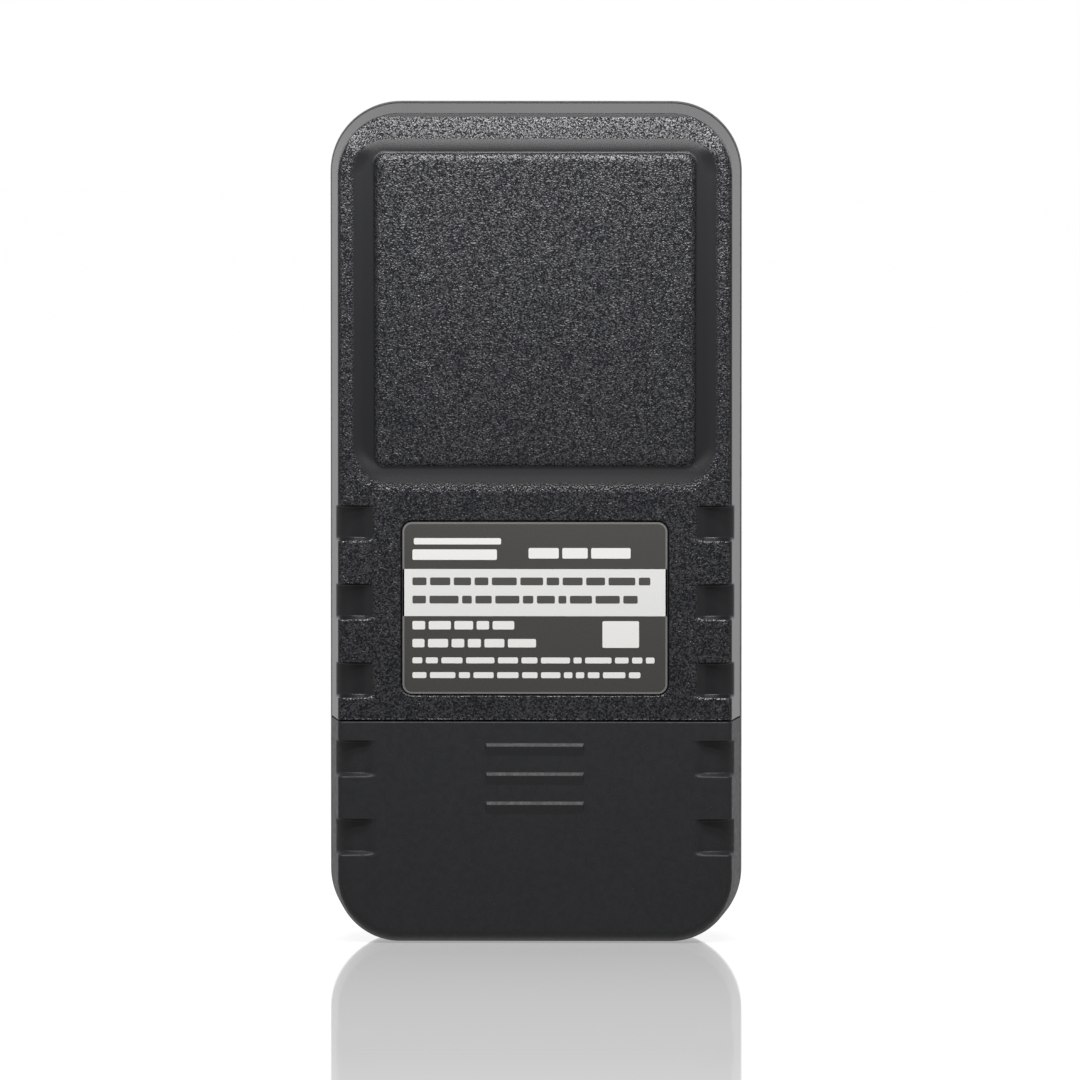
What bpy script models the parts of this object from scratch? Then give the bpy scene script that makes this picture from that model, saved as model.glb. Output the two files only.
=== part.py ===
"""A palm-size handheld speed radar, as an assembly of its separate pieces.

Axes: X is the width, Y runs from the back (-Y, with the radar pad, the label and the battery door)
to the front (+Y, with the display and the buttons), and Z is up. The origin is at the bottom centre,
where the case stands on its flat bottom end. Every length below is in millimetres, and MM turns it
into metres when a mesh is made.
"""

import math

import bmesh
import bpy
from mathutils import Matrix, Vector

MM = 0.001

# Case
CASE_WIDTH = 58.6
CASE_HEIGHT = 119.4
HALF_DEPTH = 10.8
CORNER_RADIUS = 10.0
WIDEST_Y = 1.0
BACK_SPLIT_Y = -0.8
FRONT_SPLIT_Y = -0.5
WALL = 1.6
GAP = 0.3
PROUD = 0.35

# How the outline draws in towards the back and the front
SIDE_DRAFT = 1.35
TOP_DRAFT = 1.55
BOTTOM_DRAFT = 0.5
BOTTOM_FLAT_END = -6.5
BACK_FILLET = (-9.9, 0.9, 0.75)
TOP_FILLET = (-9.0, 1.8, 2.8)
BOTTOM_FILLET = (-9.3, 1.5, 1.2)
FRONT_INSET = 4.9
FRONT_POWER = 2.2
BOTTOM_FRONT_START = 7.0
BACK_STATIONS = (-10.8, -10.7, -10.4, -9.9, -9.3, -6.5)
FRONT_STATIONS = (1.0, 4.0, 6.5, 8.2, 9.4, 10.2, 10.6, 10.8)

# Radar pad and the channel round it
PAD_HALF_WIDTH = 22.65
PAD_LOW = 68.1
PAD_HIGH = 112.2
PAD_CORNER = 1.5
CHANNEL_SIDE = 3.65
CHANNEL_LOW = 3.9
CHANNEL_TOP = 2.9
CHANNEL_DEPTH = 0.7
CHANNEL_CORNER = 5.6
CHANNEL_SLOPE = 1.6
BACK_INNER_Y = -8.9

# Label
LABEL_HALF_WIDTH = 18.85
LABEL_LOW = 35.5
LABEL_HIGH = 60.0
LABEL_Y = (-10.65, -10.5)
LABEL_FLOOR_Y = -10.4
LABEL_CORNER = 1.4
LABEL_MARGIN = 0.2

# Grip grooves
GROOVE_PITCH = 11.17
GROOVE_TOP_Z = 59.9
GROOVES_ON_HOUSING = 3
GROOVES_ON_DOOR = 2
GROOVE_HEIGHT = 4.7
GROOVE_DEPTH = 0.85
GROOVE_INNER_X = 23.0
GROOVE_END = (29.2, -1.0)
GROOVE_POWER = 3.2
GROOVE_STEPS = 8

# Battery door
DOOR_TOP = 31.6
SEAM_TOP = 31.9
DOOR_WALL = 1.5
TUB_INSET = 1.8
LATCH_HALF_WIDTH = 8.0
LATCH_CHANNEL_HALF_WIDTH = 8.5
LATCH_Y = (-9.7, -8.7)
LATCH_Z = (29.0, 33.7)
LATCH_CHANNEL_FLOOR = -8.4
LATCH_CHANNEL_TOP = 34.1
RAIL_X = (25.98, 27.4)
RAIL_Y = (-6.8, -5.6)
RAIL_Z = (4.0, 26.0)
RAIL_GROOVE_X = (25.68, 30.0)
DOOR_HOLLOW = ((-9.3, 2.2), (-9.0, DOOR_WALL), (BOTTOM_FLAT_END, DOOR_WALL), (0.2, DOOR_WALL))
RIB_TOPS = (28.5, 24.35, 20.2)
RIB_HALF_WIDTH = 6.95
RIB_CREST = 0.25
RIB_LENGTH = 1.75
FOAM_PAD = ((-8.0, 8.0), (-9.15, -8.7), (7.0, 23.0))

# Battery tub
TUB_BACK_Y = -9.0
TUB_STEP_Y = -2.6
TUB_FRONT_Y = 3.6
TUB_FLOOR_Y = 2.5
TUB_CORE_HALF_WIDTH = 26.0
TUB_CORE_LOW = 2.95
TUB_CORE_HIGH = 27.5
CAVITY_HALF_WIDTH = 24.8
CAVITY_LOW = 3.8
CAVITY_HIGH = 26.5
CAVITY_CORNER = 3.5
LEDGE_INNER_Y = -7.7
STEP_WALL_TOP = 33.4
TUB_TOP_OVERLAP = 0.8
BEHIND_LEDGE_HALF_WIDTH = 25.0
BACKING = ((-9.6, 9.6), (-9.2, -7.5), (32.8, 35.2))
JOIN = 0.3

# Front housing tongue, which fits inside the back housing and the door
TONGUE_END_Y = -2.3
TONGUE_OUTER = (2.3, 2.5, 1.95)
TONGUE_INNER = (3.0, 3.2, 2.65)
THROAT_END_Y = 0.5
HOLLOW_STATIONS = (1.0, 4.0, 6.5)

# Batteries, contacts and springs
BATTERY_RADIUS = 5.25
BATTERY_Y = -3.05
BATTERY_LOW_Z = 9.4
BATTERY_HIGH_Z = 20.9
BATTERY_NUB_X = 23.3
BATTERY_BASE_X = 21.2
PLATE_X = (24.1, 24.5)
PLATE_Y = (-7.4, 2.2)
PLATE_HALF_HEIGHT = 3.15
PLATE_DIMPLE_X = 23.6
TAB_HALF_WIDTH = 1.0
TAB_END_Y = 3.75
TAB_OUTER_GAP = 0.2
SPRING_X = (21.55, 23.85)
SPRING_RADII = (1.9, 3.3)
SPRING_TURNS = 2.5
SPRING_WIRE_RADIUS = 0.22

# Front face, display and fascia
FACE_INNER_Y = 8.0
FACE_OUTER_Y = 9.5
RIM_INSET = 5.9
FASCIA_INSET = 6.15
FASCIA_Y = (9.7, 10.5)
DISPLAY_Z = 84.0
WINDOW_HALF = (20.0, 14.0)
WINDOW_CORNER = 1.5
REBATE_HALF = (22.2, 16.2)
REBATE_CORNER = 2.2
REBATE_Y = 8.8
LENS_HALF = (21.9, 15.9)
LENS_CORNER = 2.0
LENS_Y = (9.2, 10.4)
GASKET_HALF = (21.8, 15.8)
GASKET_OPENING = (20.4, 14.4)
GASKET_Y = (8.9, 9.1)
PANEL_HALF = (23.0, 17.0)
PANEL_Y = (6.5, 7.7)
PANEL_CLEARANCE = 0.3
FRAME_HALF = (25.2, 19.0)
FRAME_Y = (5.4, 7.8)
BACKLIGHT_Y = (5.4, 6.3)
ZEBRA_HALF_WIDTH = 21.0
ZEBRA_HEIGHT = 2.4

# Boards
BOARD_Y = (4.0, 5.2)
BOARD_HALF_WIDTH = 25.5
BOARD_Z = (5.0, 113.0)
ANTENNA_Y = (-7.6, -6.4)
ANTENNA_HALF_WIDTH = 21.0
ANTENNA_Z = (67.0, 112.0)
SPACER_HALF = (15.5, 17.5)
SPACER_OPENING = (13.0, 15.0)
SPACER_Y = (-8.7, -7.8)
SHIELD_HALF = (14.0, 14.0)
SHIELD_Y = (-6.2, -2.4)
SHIELD_WALL = 0.4
HEADER_Z = 69.6
PIN_PITCH = 2.54
PIN_COUNT = 5
PIN_HALF = 0.32
PIN_WELL_HALF = 0.65
CHIP_Z = 55.0

# Buttons
MEASURE_Z = 34.0
MEASURE_RADIUS = 11.0
KEY_Z = 57.0
KEY_SPACING = 15.0
KEY_HALF = (5.5, 3.2)
BUTTON_CLEARANCE = 0.4
FLANGE_Y = (6.7, 7.7)
PLUNGER_TOP_Y = 7.5
STEM_Y = 7.65
SWITCH_Y = (5.35, 6.9)

# Screws: shank and clearance radii, head, and the places of each group in X and Z
SHANK_RADIUS = 1.0
SCREW_HOLE_RADIUS = 1.15
HEAD_RADIUS = 1.7
HEAD_HEIGHT = 1.0
COUNTERBORE_RADIUS = 1.95
BOARD_HOLE_RADIUS = 1.3
CASE_SCREW_LENGTH = 12.0
LABEL_SCREW_HEAD_Y = -9.7
LABEL_SCREW_SEAT_Y = -8.4
LABEL_POST_RADIUS = 3.0
DOOR_SCREW_HEAD_Y = -8.5
DOOR_SCREW_SEAT_Y = -7.2
DOOR_POST_RADIUS = 2.9
DOOR_BORE_RADIUS = 1.9
ANTENNA_POST_RADIUS = 2.0
BOSS_RADIUS = 2.4
DOOR_BOSS_RADIUS = 2.2
BOARD_SCREW_HEAD_Y = 2.85
BOARD_SCREW_LENGTH = 3.3
ANTENNA_SCREW_HEAD_Y = -5.25
ANTENNA_SCREW_LENGTH = 3.4
ANTENNA_HOLE_END_Y = -10.0
LABEL_SCREWS = ((-15.5, 44.5), (15.5, 44.5))
DOOR_SCREWS = ((-21.0, 29.9), (21.0, 29.9))
BOARD_SCREWS = ((-22.0, 38.0), (22.0, 38.0), (-22.0, 108.0), (22.0, 108.0))
ANTENNA_SCREWS = ((-18.5, 71.0), (18.5, 71.0), (-18.5, 108.5), (18.5, 108.5))

CORNER_STEPS = 5

# Limits of cutters that run past the case on every side
ALL_X = (-40.0, 40.0)
ALL_Y = (-20.0, 20.0)
FAR_DOWN = -10.0
FAR_UP = 200.0
FAR_BACK = -12.0
FAR_FRONT = 12.0


# ---------------------------------------------------------------- case outline

def rounding(distance, span, depth, power=2.0):
    """How far a rounded edge has drawn in at this distance past its start."""
    if distance <= 0.0:
        return 0.0
    share = min(distance / span, 1.0)
    return depth * (1.0 - (1.0 - share ** power) ** (1.0 / power))


def front_rounding(y, start):
    return rounding(y - start, HALF_DEPTH - start, FRONT_INSET, FRONT_POWER)


def back_inset(y, start, draft, edge):
    """The draft from start back to the rounded edge, and then the edge itself."""
    fillet, span, depth = edge
    share = max(0.0, min((start - y) / (start - fillet), 1.0))
    return draft * share + rounding(fillet - y, span, depth)


def side_inset(y):
    return back_inset(y, WIDEST_Y, SIDE_DRAFT, BACK_FILLET) + front_rounding(y, WIDEST_Y)


def top_inset(y):
    return back_inset(y, WIDEST_Y, TOP_DRAFT, TOP_FILLET) + front_rounding(y, WIDEST_Y)


def bottom_inset(y):
    front = front_rounding(y, BOTTOM_FRONT_START)
    return back_inset(y, BOTTOM_FLAT_END, BOTTOM_DRAFT, BOTTOM_FILLET) + front


def outline(y, low, high, radius, steps=CORNER_STEPS):
    """A rounded rectangle in the plane at y, from corner low to corner high, each as (x, z)."""
    corners = (
        (high[0] - radius, high[1] - radius),
        (low[0] + radius, high[1] - radius),
        (low[0] + radius, low[1] + radius),
        (high[0] - radius, low[1] + radius),
    )
    points = []
    for quarter, (x, z) in enumerate(corners):
        for step in range(steps + 1):
            angle = math.radians(90.0 * (quarter + step / steps))
            points.append((x + radius * math.cos(angle), y, z + radius * math.sin(angle)))
    return points


def inset_outline(y, side, top, bottom):
    """The case's widest outline drawn in by these three amounts."""
    half = CASE_WIDTH / 2 - side
    radius = max(CORNER_RADIUS - side, 1.2)
    return outline(y, (-half, bottom), (half, CASE_HEIGHT - top), radius)


def case_outline(y, inward=0.0):
    """The case's outline at y, drawn in by a wall's thickness."""
    return inset_outline(y, side_inset(y) + inward, top_inset(y) + inward, bottom_inset(y) + inward)


# ---------------------------------------------------------------- solids

def solid_from(bm, name):
    bmesh.ops.recalc_face_normals(bm, faces=bm.faces)
    mesh = bpy.data.meshes.new(name)
    bm.to_mesh(mesh)
    bm.free()
    mesh.transform(Matrix.Scale(MM, 4))
    piece = bpy.data.objects.new(name, mesh)
    bpy.context.scene.collection.objects.link(piece)
    return piece


def loft(name, rings):
    """A closed solid through rings of equal length, with flat ends."""
    bm = bmesh.new()
    rows = [[bm.verts.new(point) for point in ring] for ring in rings]
    count = len(rows[0])
    for one, other in zip(rows, rows[1:]):
        for index in range(count):
            following = (index + 1) % count
            bm.faces.new((one[index], one[following], other[following], other[index]))
    bm.faces.new(rows[0])
    bm.faces.new(rows[-1])
    return solid_from(bm, name)


def block(name, x, y, z):
    """A box between pairs of limits."""
    bm = bmesh.new()
    bmesh.ops.create_cube(bm, size=1.0)
    for vert in bm.verts:
        vert.co.x = x[0] if vert.co.x < 0 else x[1]
        vert.co.y = y[0] if vert.co.y < 0 else y[1]
        vert.co.z = z[0] if vert.co.z < 0 else z[1]
    return solid_from(bm, name)


def slab(name, half, centre_z, y, radius, steps=4):
    """A plate of rounded rectangular outline, centred on X."""
    low = (-half[0], centre_z - half[1])
    high = (half[0], centre_z + half[1])
    return loft(name, [outline(level, low, high, radius, steps) for level in y])


def plate(name, half, centre_z, y):
    """A plate of square-cornered outline, centred on X."""
    return block(name, (-half[0], half[0]), y, (centre_z - half[1], centre_z + half[1]))


def turned(name, profile, centre, axis="Y", sides=20):
    """A solid turned round an axis through centre. The profile lists (radius, distance along the axis)."""
    rings = []
    for radius, along in profile:
        ring = []
        for step in range(sides):
            angle = 2 * math.pi * step / sides
            across = radius * math.cos(angle)
            up = radius * math.sin(angle)
            if axis == "Y":
                ring.append((centre[0] + across, along, centre[1] + up))
            else:
                ring.append((along, centre[0] + across, centre[1] + up))
        rings.append(ring)
    return loft(name, rings)


def rod(name, radius, centre, y, sides=14):
    return turned(name, ((radius, y[0]), (radius, y[1])), centre, sides=sides)


def combine(target, tools, operation):
    """Joins tools to the target, or cuts them from it, one at a time, and removes them."""
    for tool in tools:
        boolean = target.modifiers.new(operation.lower(), "BOOLEAN")
        boolean.operation = operation
        boolean.object = tool
        graph = bpy.context.evaluated_depsgraph_get()
        result = bpy.data.meshes.new_from_object(target.evaluated_get(graph))
        target.modifiers.remove(boolean)
        previous = target.data
        target.data = result
        bpy.data.meshes.remove(previous)
        bpy.data.objects.remove(tool)
    return target


def join(target, *tools):
    return combine(target, tools, "UNION")


def cut(target, *tools):
    return combine(target, tools, "DIFFERENCE")


def finish(piece, name, material, origin, smooth=None):
    """Names the piece, puts its origin at a point, parents it and gives it its material."""
    piece.name = name
    piece.data.name = name
    offset = Vector(origin) * MM
    piece.data.transform(Matrix.Translation(-offset))
    piece.location = offset
    piece.parent = ASSEMBLY
    piece.data.materials.clear()
    piece.data.materials.append(material)
    if smooth is not None:
        piece.data.shade_smooth()
        piece.data.set_sharp_from_angle(angle=math.radians(smooth))
    return piece


def paint(name, colour, roughness, metallic=0.0):
    material = bpy.data.materials.new(name)
    material.use_nodes = True
    shader = material.node_tree.nodes["Principled BSDF"]
    shader.inputs["Base Color"].default_value = (*colour, 1.0)
    shader.inputs["Roughness"].default_value = roughness
    shader.inputs["Metallic"].default_value = metallic
    return material


# ---------------------------------------------------------------- shells

def everything(low, high):
    """A cutter that takes all there is between two heights."""
    return block("slice", ALL_X, ALL_Y, (low, high))


def groove_cutters(first, count):
    """The cutters of the grip grooves. Each floor is one sweep from the back round to the side."""
    reach_x = GROOVE_END[0] - GROOVE_INNER_X
    reach_y = HALF_DEPTH - GROOVE_DEPTH + GROOVE_END[1]
    section = [(2 * GROOVE_END[0], GROOVE_END[1]), (2 * GROOVE_END[0], FAR_BACK), (GROOVE_INNER_X, FAR_BACK)]
    for step in range(GROOVE_STEPS + 1):
        angle = math.pi / 2 * step / GROOVE_STEPS
        across = math.sin(angle) ** (2 / GROOVE_POWER)
        behind = math.cos(angle) ** (2 / GROOVE_POWER)
        section.append((GROOVE_INNER_X + reach_x * across, GROOVE_END[1] - reach_y * behind))
    cutters = []
    for index in range(first, first + count):
        centre = GROOVE_TOP_Z - GROOVE_PITCH * index
        for side in (-1, 1):
            heights = (centre - GROOVE_HEIGHT / 2, centre + GROOVE_HEIGHT / 2)
            cutters.append(loft("groove", [[(side * x, y, z) for x, y in section] for z in heights]))
    return cutters


def channel_cutter():
    """A ring with sloping walls, which sinks the channel that runs round the radar pad."""
    def level(y, spread):
        low = (-PAD_HALF_WIDTH - CHANNEL_SIDE - spread, PAD_LOW - CHANNEL_LOW - spread)
        high = (PAD_HALF_WIDTH + CHANNEL_SIDE + spread, PAD_HIGH + CHANNEL_TOP + spread)
        return outline(y, low, high, CHANNEL_CORNER + spread)

    floor = -HALF_DEPTH + CHANNEL_DEPTH
    ring = loft("channel", (level(FAR_BACK, 0.0), level(-HALF_DEPTH, 0.0), level(floor, -CHANNEL_SLOPE)))
    half_height = (PAD_HIGH - PAD_LOW) / 2
    middle = (PAD_HIGH + PAD_LOW) / 2
    pad = slab("pad", (PAD_HALF_WIDTH, half_height), middle, (FAR_BACK - 1, floor + 1), PAD_CORNER)
    return cut(ring, pad)


def screw_hole(place, y, sides=10):
    return rod("hole", SCREW_HOLE_RADIUS, place, y, sides)


def make_tub():
    """The battery tub's outside: a ledge inside the door, and a core inside the front housing's tongue."""
    tub = loft("tub", [case_outline(y, TUB_INSET) for y in (TUB_BACK_Y, BOTTOM_FLAT_END, TUB_STEP_Y)])
    cut(tub, everything(SEAM_TOP + TUB_TOP_OVERLAP, FAR_UP))
    low = (-TUB_CORE_HALF_WIDTH, TUB_CORE_LOW)
    high = (TUB_CORE_HALF_WIDTH, TUB_CORE_HIGH + CORNER_RADIUS)
    inner_half_width = CASE_WIDTH / 2 - TONGUE_INNER[0]
    core_radius = inner_half_width - GAP - (CASE_WIDTH / 2 - CORNER_RADIUS)
    core = loft("core", [outline(y, low, high, core_radius) for y in (TUB_STEP_Y - 1, TUB_FRONT_Y)])
    cut(core, everything(TUB_CORE_HIGH, FAR_UP))
    return join(tub, core)


def battery_cutters():
    """The room for the cells, the latch, the door's rails and the contacts' tabs."""
    low = (-CAVITY_HALF_WIDTH, CAVITY_LOW)
    high = (CAVITY_HALF_WIDTH, CAVITY_HIGH)
    cavity = loft("cavity", [outline(y, low, high, CAVITY_CORNER) for y in (FAR_BACK, TUB_FLOOR_Y)])
    latch_x = (-LATCH_CHANNEL_HALF_WIDTH, LATCH_CHANNEL_HALF_WIDTH)
    latch_y = (LATCH_Y[0] - GAP, LATCH_CHANNEL_FLOOR)
    cutters = [cavity, block("latch_channel", latch_x, latch_y, (FAR_DOWN, LATCH_CHANNEL_TOP))]
    for side in (-1, 1):
        limits = sorted(side * x for x in RAIL_GROOVE_X)
        rail_y = (RAIL_Y[0] - GAP, RAIL_Y[1] + GAP)
        cutters.append(block("rail_groove", limits, rail_y, (FAR_DOWN, RAIL_Z[1] + 2 * GAP)))
        for height in (BATTERY_LOW_Z, BATTERY_HIGH_Z):
            tab_x = sorted((side * (PLATE_X[0] - GAP), side * (PLATE_X[1] + TAB_OUTER_GAP)))
            tab_z = (height - TAB_HALF_WIDTH - GAP, height + TAB_HALF_WIDTH + GAP)
            cutters.append(block("tab_slot", tab_x, (TUB_FLOOR_Y - 1, TUB_FRONT_Y + 1), tab_z))
    return cutters


def make_back_housing(material):
    shell = loft("back_housing", [case_outline(y) for y in (*BACK_STATIONS, BACK_SPLIT_Y)])
    cut(shell, everything(FAR_DOWN, SEAM_TOP))
    inner_levels = (BACK_INNER_Y, BOTTOM_FLAT_END, BACK_SPLIT_Y + 1.0)
    hollow = loft("hollow", [case_outline(y, WALL) for y in inner_levels])
    cut(hollow, block("under", ALL_X, (ALL_Y[0], TUB_STEP_Y), (FAR_DOWN, STEP_WALL_TOP)))
    cut(shell, hollow)
    join(shell, make_tub())

    behind_x = (-BEHIND_LEDGE_HALF_WIDTH, BEHIND_LEDGE_HALF_WIDTH)
    behind_z = (TUB_CORE_HIGH + 0.1, STEP_WALL_TOP + 0.2)
    cut(shell, block("behind", behind_x, (LEDGE_INNER_Y, TUB_FRONT_Y + 1), behind_z))
    join(shell, block("backing", *BACKING))
    for place in LABEL_SCREWS:
        join(shell, rod("post", LABEL_POST_RADIUS, place, (BACK_INNER_Y - JOIN, FRONT_SPLIT_Y)))
    for place in DOOR_SCREWS:
        join(shell, rod("post", DOOR_POST_RADIUS, place, (LEDGE_INNER_Y - JOIN, FRONT_SPLIT_Y)))
    for place in ANTENNA_SCREWS:
        join(shell, rod("post", ANTENNA_POST_RADIUS, place, (BACK_INNER_Y - JOIN, ANTENNA_Y[0] - 0.2), 12))

    cut(shell, *battery_cutters(), channel_cutter())
    label_half = (LABEL_HALF_WIDTH + LABEL_MARGIN, (LABEL_HIGH - LABEL_LOW) / 2 + LABEL_MARGIN)
    label_z = (LABEL_HIGH + LABEL_LOW) / 2
    recess_corner = LABEL_CORNER + LABEL_MARGIN
    cut(shell, slab("recess", label_half, label_z, (FAR_BACK, LABEL_FLOOR_Y), recess_corner))
    cut(shell, *groove_cutters(0, GROOVES_ON_HOUSING))
    for place in LABEL_SCREWS:
        cut(shell, rod("bore", COUNTERBORE_RADIUS, place, (FAR_BACK, LABEL_SCREW_SEAT_Y)))
        cut(shell, screw_hole(place, (LABEL_SCREW_HEAD_Y, WIDEST_Y)))
    for place in DOOR_SCREWS:
        cut(shell, rod("bore", DOOR_BORE_RADIUS, place, (FAR_BACK, DOOR_SCREW_SEAT_Y)))
        cut(shell, screw_hole(place, (DOOR_SCREW_HEAD_Y, WIDEST_Y)))
    for place in ANTENNA_SCREWS:
        cut(shell, screw_hole(place, (ANTENNA_HOLE_END_Y, ANTENNA_Y[0] + 0.6)))
    return finish(shell, "back_housing", material, (0, -5.8, 75), smooth=30)


def rib(top):
    """A thumb rib: a ramp that falls away below a short steep face."""
    root = -HALF_DEPTH + JOIN
    section = (
        (root, top),
        (-HALF_DEPTH, top),
        (-HALF_DEPTH - PROUD, top - RIB_CREST),
        (-HALF_DEPTH, top - RIB_LENGTH),
        (root, top - RIB_LENGTH),
    )
    return loft("rib", [[(x, y, z) for y, z in section] for x in (-RIB_HALF_WIDTH, RIB_HALF_WIDTH)])


def make_battery_door(material):
    door = loft("battery_door", [case_outline(y) for y in (*BACK_STATIONS, BACK_SPLIT_Y)])
    hollow = loft("hollow", [case_outline(y, inward) for y, inward in DOOR_HOLLOW])
    cut(door, hollow, everything(DOOR_TOP, FAR_UP))
    join(door, block("latch", (-LATCH_HALF_WIDTH, LATCH_HALF_WIDTH), LATCH_Y, LATCH_Z))
    for side in (-1, 1):
        join(door, block("rail", sorted(side * x for x in RAIL_X), RAIL_Y, RAIL_Z))
    cut(door, *groove_cutters(GROOVES_ON_HOUSING, GROOVES_ON_DOOR))
    for top in RIB_TOPS:
        join(door, rib(top))
    return finish(door, "battery_door", material, (0, -5.8, 0), smooth=30)


def window_cutter(half, y, radius):
    return slab("window", half, DISPLAY_Z, y, radius)


def key_places():
    return ((-KEY_SPACING, "power"), (0.0, "mode"), (KEY_SPACING, "recall"))


def key_outline(y, x, grow):
    low = (x - KEY_HALF[0] - grow, KEY_Z - KEY_HALF[1] - grow)
    high = (x + KEY_HALF[0] + grow, KEY_Z + KEY_HALF[1] + grow)
    return outline(y, low, high, KEY_HALF[1] + grow - 0.01, 5)


def button_holes(y):
    """Cutters for the measure button and the three keys."""
    holes = [rod("hole", MEASURE_RADIUS + BUTTON_CLEARANCE, (0, MEASURE_Z), y, 36)]
    for x, _ in key_places():
        holes.append(loft("hole", [key_outline(level, x, BUTTON_CLEARANCE) for level in y]))
    return holes


def make_front_housing(material):
    tongue = [inset_outline(y, *TONGUE_OUTER) for y in (TONGUE_END_Y, FRONT_SPLIT_Y)]
    body = [case_outline(y) for y in (FRONT_SPLIT_Y, *FRONT_STATIONS)]
    shell = loft("front_housing", tongue + body)
    throat = [inset_outline(y, *TONGUE_INNER) for y in (TONGUE_END_Y - 1, THROAT_END_Y)]
    room = [case_outline(y, WALL) for y in (*HOLLOW_STATIONS, FACE_INNER_Y)]
    cut(shell, loft("hollow", throat + room))
    rim = [RIM_INSET] * 3
    cut(shell, loft("recess", [inset_outline(y, *rim) for y in (FACE_OUTER_Y, FAR_FRONT)]))
    face = FACE_INNER_Y + JOIN
    for place in LABEL_SCREWS:
        join(shell, rod("boss", BOSS_RADIUS, place, (FRONT_SPLIT_Y + GAP, face)))
    for place in DOOR_SCREWS:
        join(shell, rod("boss", DOOR_BOSS_RADIUS, place, (FRONT_SPLIT_Y + GAP, face)))
    for place in BOARD_SCREWS:
        join(shell, rod("boss", BOSS_RADIUS, place, (BOARD_Y[1] + 0.2, face)))
    for place in (*LABEL_SCREWS, *DOOR_SCREWS, *BOARD_SCREWS):
        cut(shell, screw_hole(place, (FRONT_SPLIT_Y - GAP, FACE_INNER_Y - 0.4)))
    cut(shell, window_cutter(WINDOW_HALF, (SWITCH_Y[0], FAR_FRONT), WINDOW_CORNER))
    cut(shell, window_cutter(REBATE_HALF, (REBATE_Y, FAR_FRONT), REBATE_CORNER))
    cut(shell, *button_holes((SWITCH_Y[0], FAR_FRONT)))
    return finish(shell, "front_housing", material, (0, 4, 60), smooth=30)


def make_front_fascia(material):
    inset = [FASCIA_INSET] * 3
    plate = loft("front_fascia", [inset_outline(y, *inset) for y in FASCIA_Y])
    through = (REBATE_Y, FAR_FRONT)
    cut(plate, window_cutter(REBATE_HALF, through, REBATE_CORNER), *button_holes(through))
    return finish(plate, "front_fascia", material, (0, FASCIA_Y[0], 60), smooth=30)


def make_door_foam_pad(material):
    pad = block("door_foam_pad", *FOAM_PAD)
    return finish(pad, "door_foam_pad", material, (0, FOAM_PAD[1][0], 15))


def make_rating_label(material):
    half = (LABEL_HALF_WIDTH, (LABEL_HIGH - LABEL_LOW) / 2)
    middle = (LABEL_HIGH + LABEL_LOW) / 2
    label = slab("rating_label", half, middle, LABEL_Y, LABEL_CORNER)
    return finish(label, "rating_label", material, (0, LABEL_Y[1], middle), smooth=30)


# ---------------------------------------------------------------- display

def make_display(materials):
    lens = slab("display_lens", LENS_HALF, DISPLAY_Z, LENS_Y, LENS_CORNER)
    finish(lens, "display_lens", materials["lens"], (0, LENS_Y[0], DISPLAY_Z), smooth=30)

    gasket = slab("lens_gasket", GASKET_HALF, DISPLAY_Z, GASKET_Y, LENS_CORNER)
    cut(gasket, window_cutter(GASKET_OPENING, (GASKET_Y[0] - 1, GASKET_Y[1] + 1), WINDOW_CORNER))
    finish(gasket, "lens_gasket", materials["rubber"], (0, GASKET_Y[0], DISPLAY_Z), smooth=30)

    frame = slab("lcd_frame", FRAME_HALF, DISPLAY_Z, FRAME_Y, WINDOW_CORNER)
    opening = (PANEL_HALF[0] + PANEL_CLEARANCE, PANEL_HALF[1] + PANEL_CLEARANCE)
    cut(frame, window_cutter(opening, (FRAME_Y[0] - 1, FRAME_Y[1] + 1), PANEL_CLEARANCE))
    finish(frame, "lcd_frame", materials["plastic"], (0, FRAME_Y[0], DISPLAY_Z), smooth=30)

    x = (-PANEL_HALF[0], PANEL_HALF[0])
    low = DISPLAY_Z - PANEL_HALF[1]
    high = DISPLAY_Z + PANEL_HALF[1]
    panel = block("lcd_panel", x, PANEL_Y, (low, high))
    finish(panel, "lcd_panel", materials["lcd"], (0, PANEL_Y[0], DISPLAY_Z))
    zebra_low = low + GAP
    zebra_high = zebra_low + ZEBRA_HEIGHT
    backlight = block("lcd_backlight", x, BACKLIGHT_Y, (zebra_high + 0.5, high))
    finish(backlight, "lcd_backlight", materials["white"], (0, BACKLIGHT_Y[0], DISPLAY_Z))
    zebra_x = (-ZEBRA_HALF_WIDTH, ZEBRA_HALF_WIDTH)
    zebra = block("zebra_connector", zebra_x, BACKLIGHT_Y, (zebra_low, zebra_high))
    finish(zebra, "zebra_connector", materials["rubber"], (0, BACKLIGHT_Y[0], zebra_low))


# ---------------------------------------------------------------- boards

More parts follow.
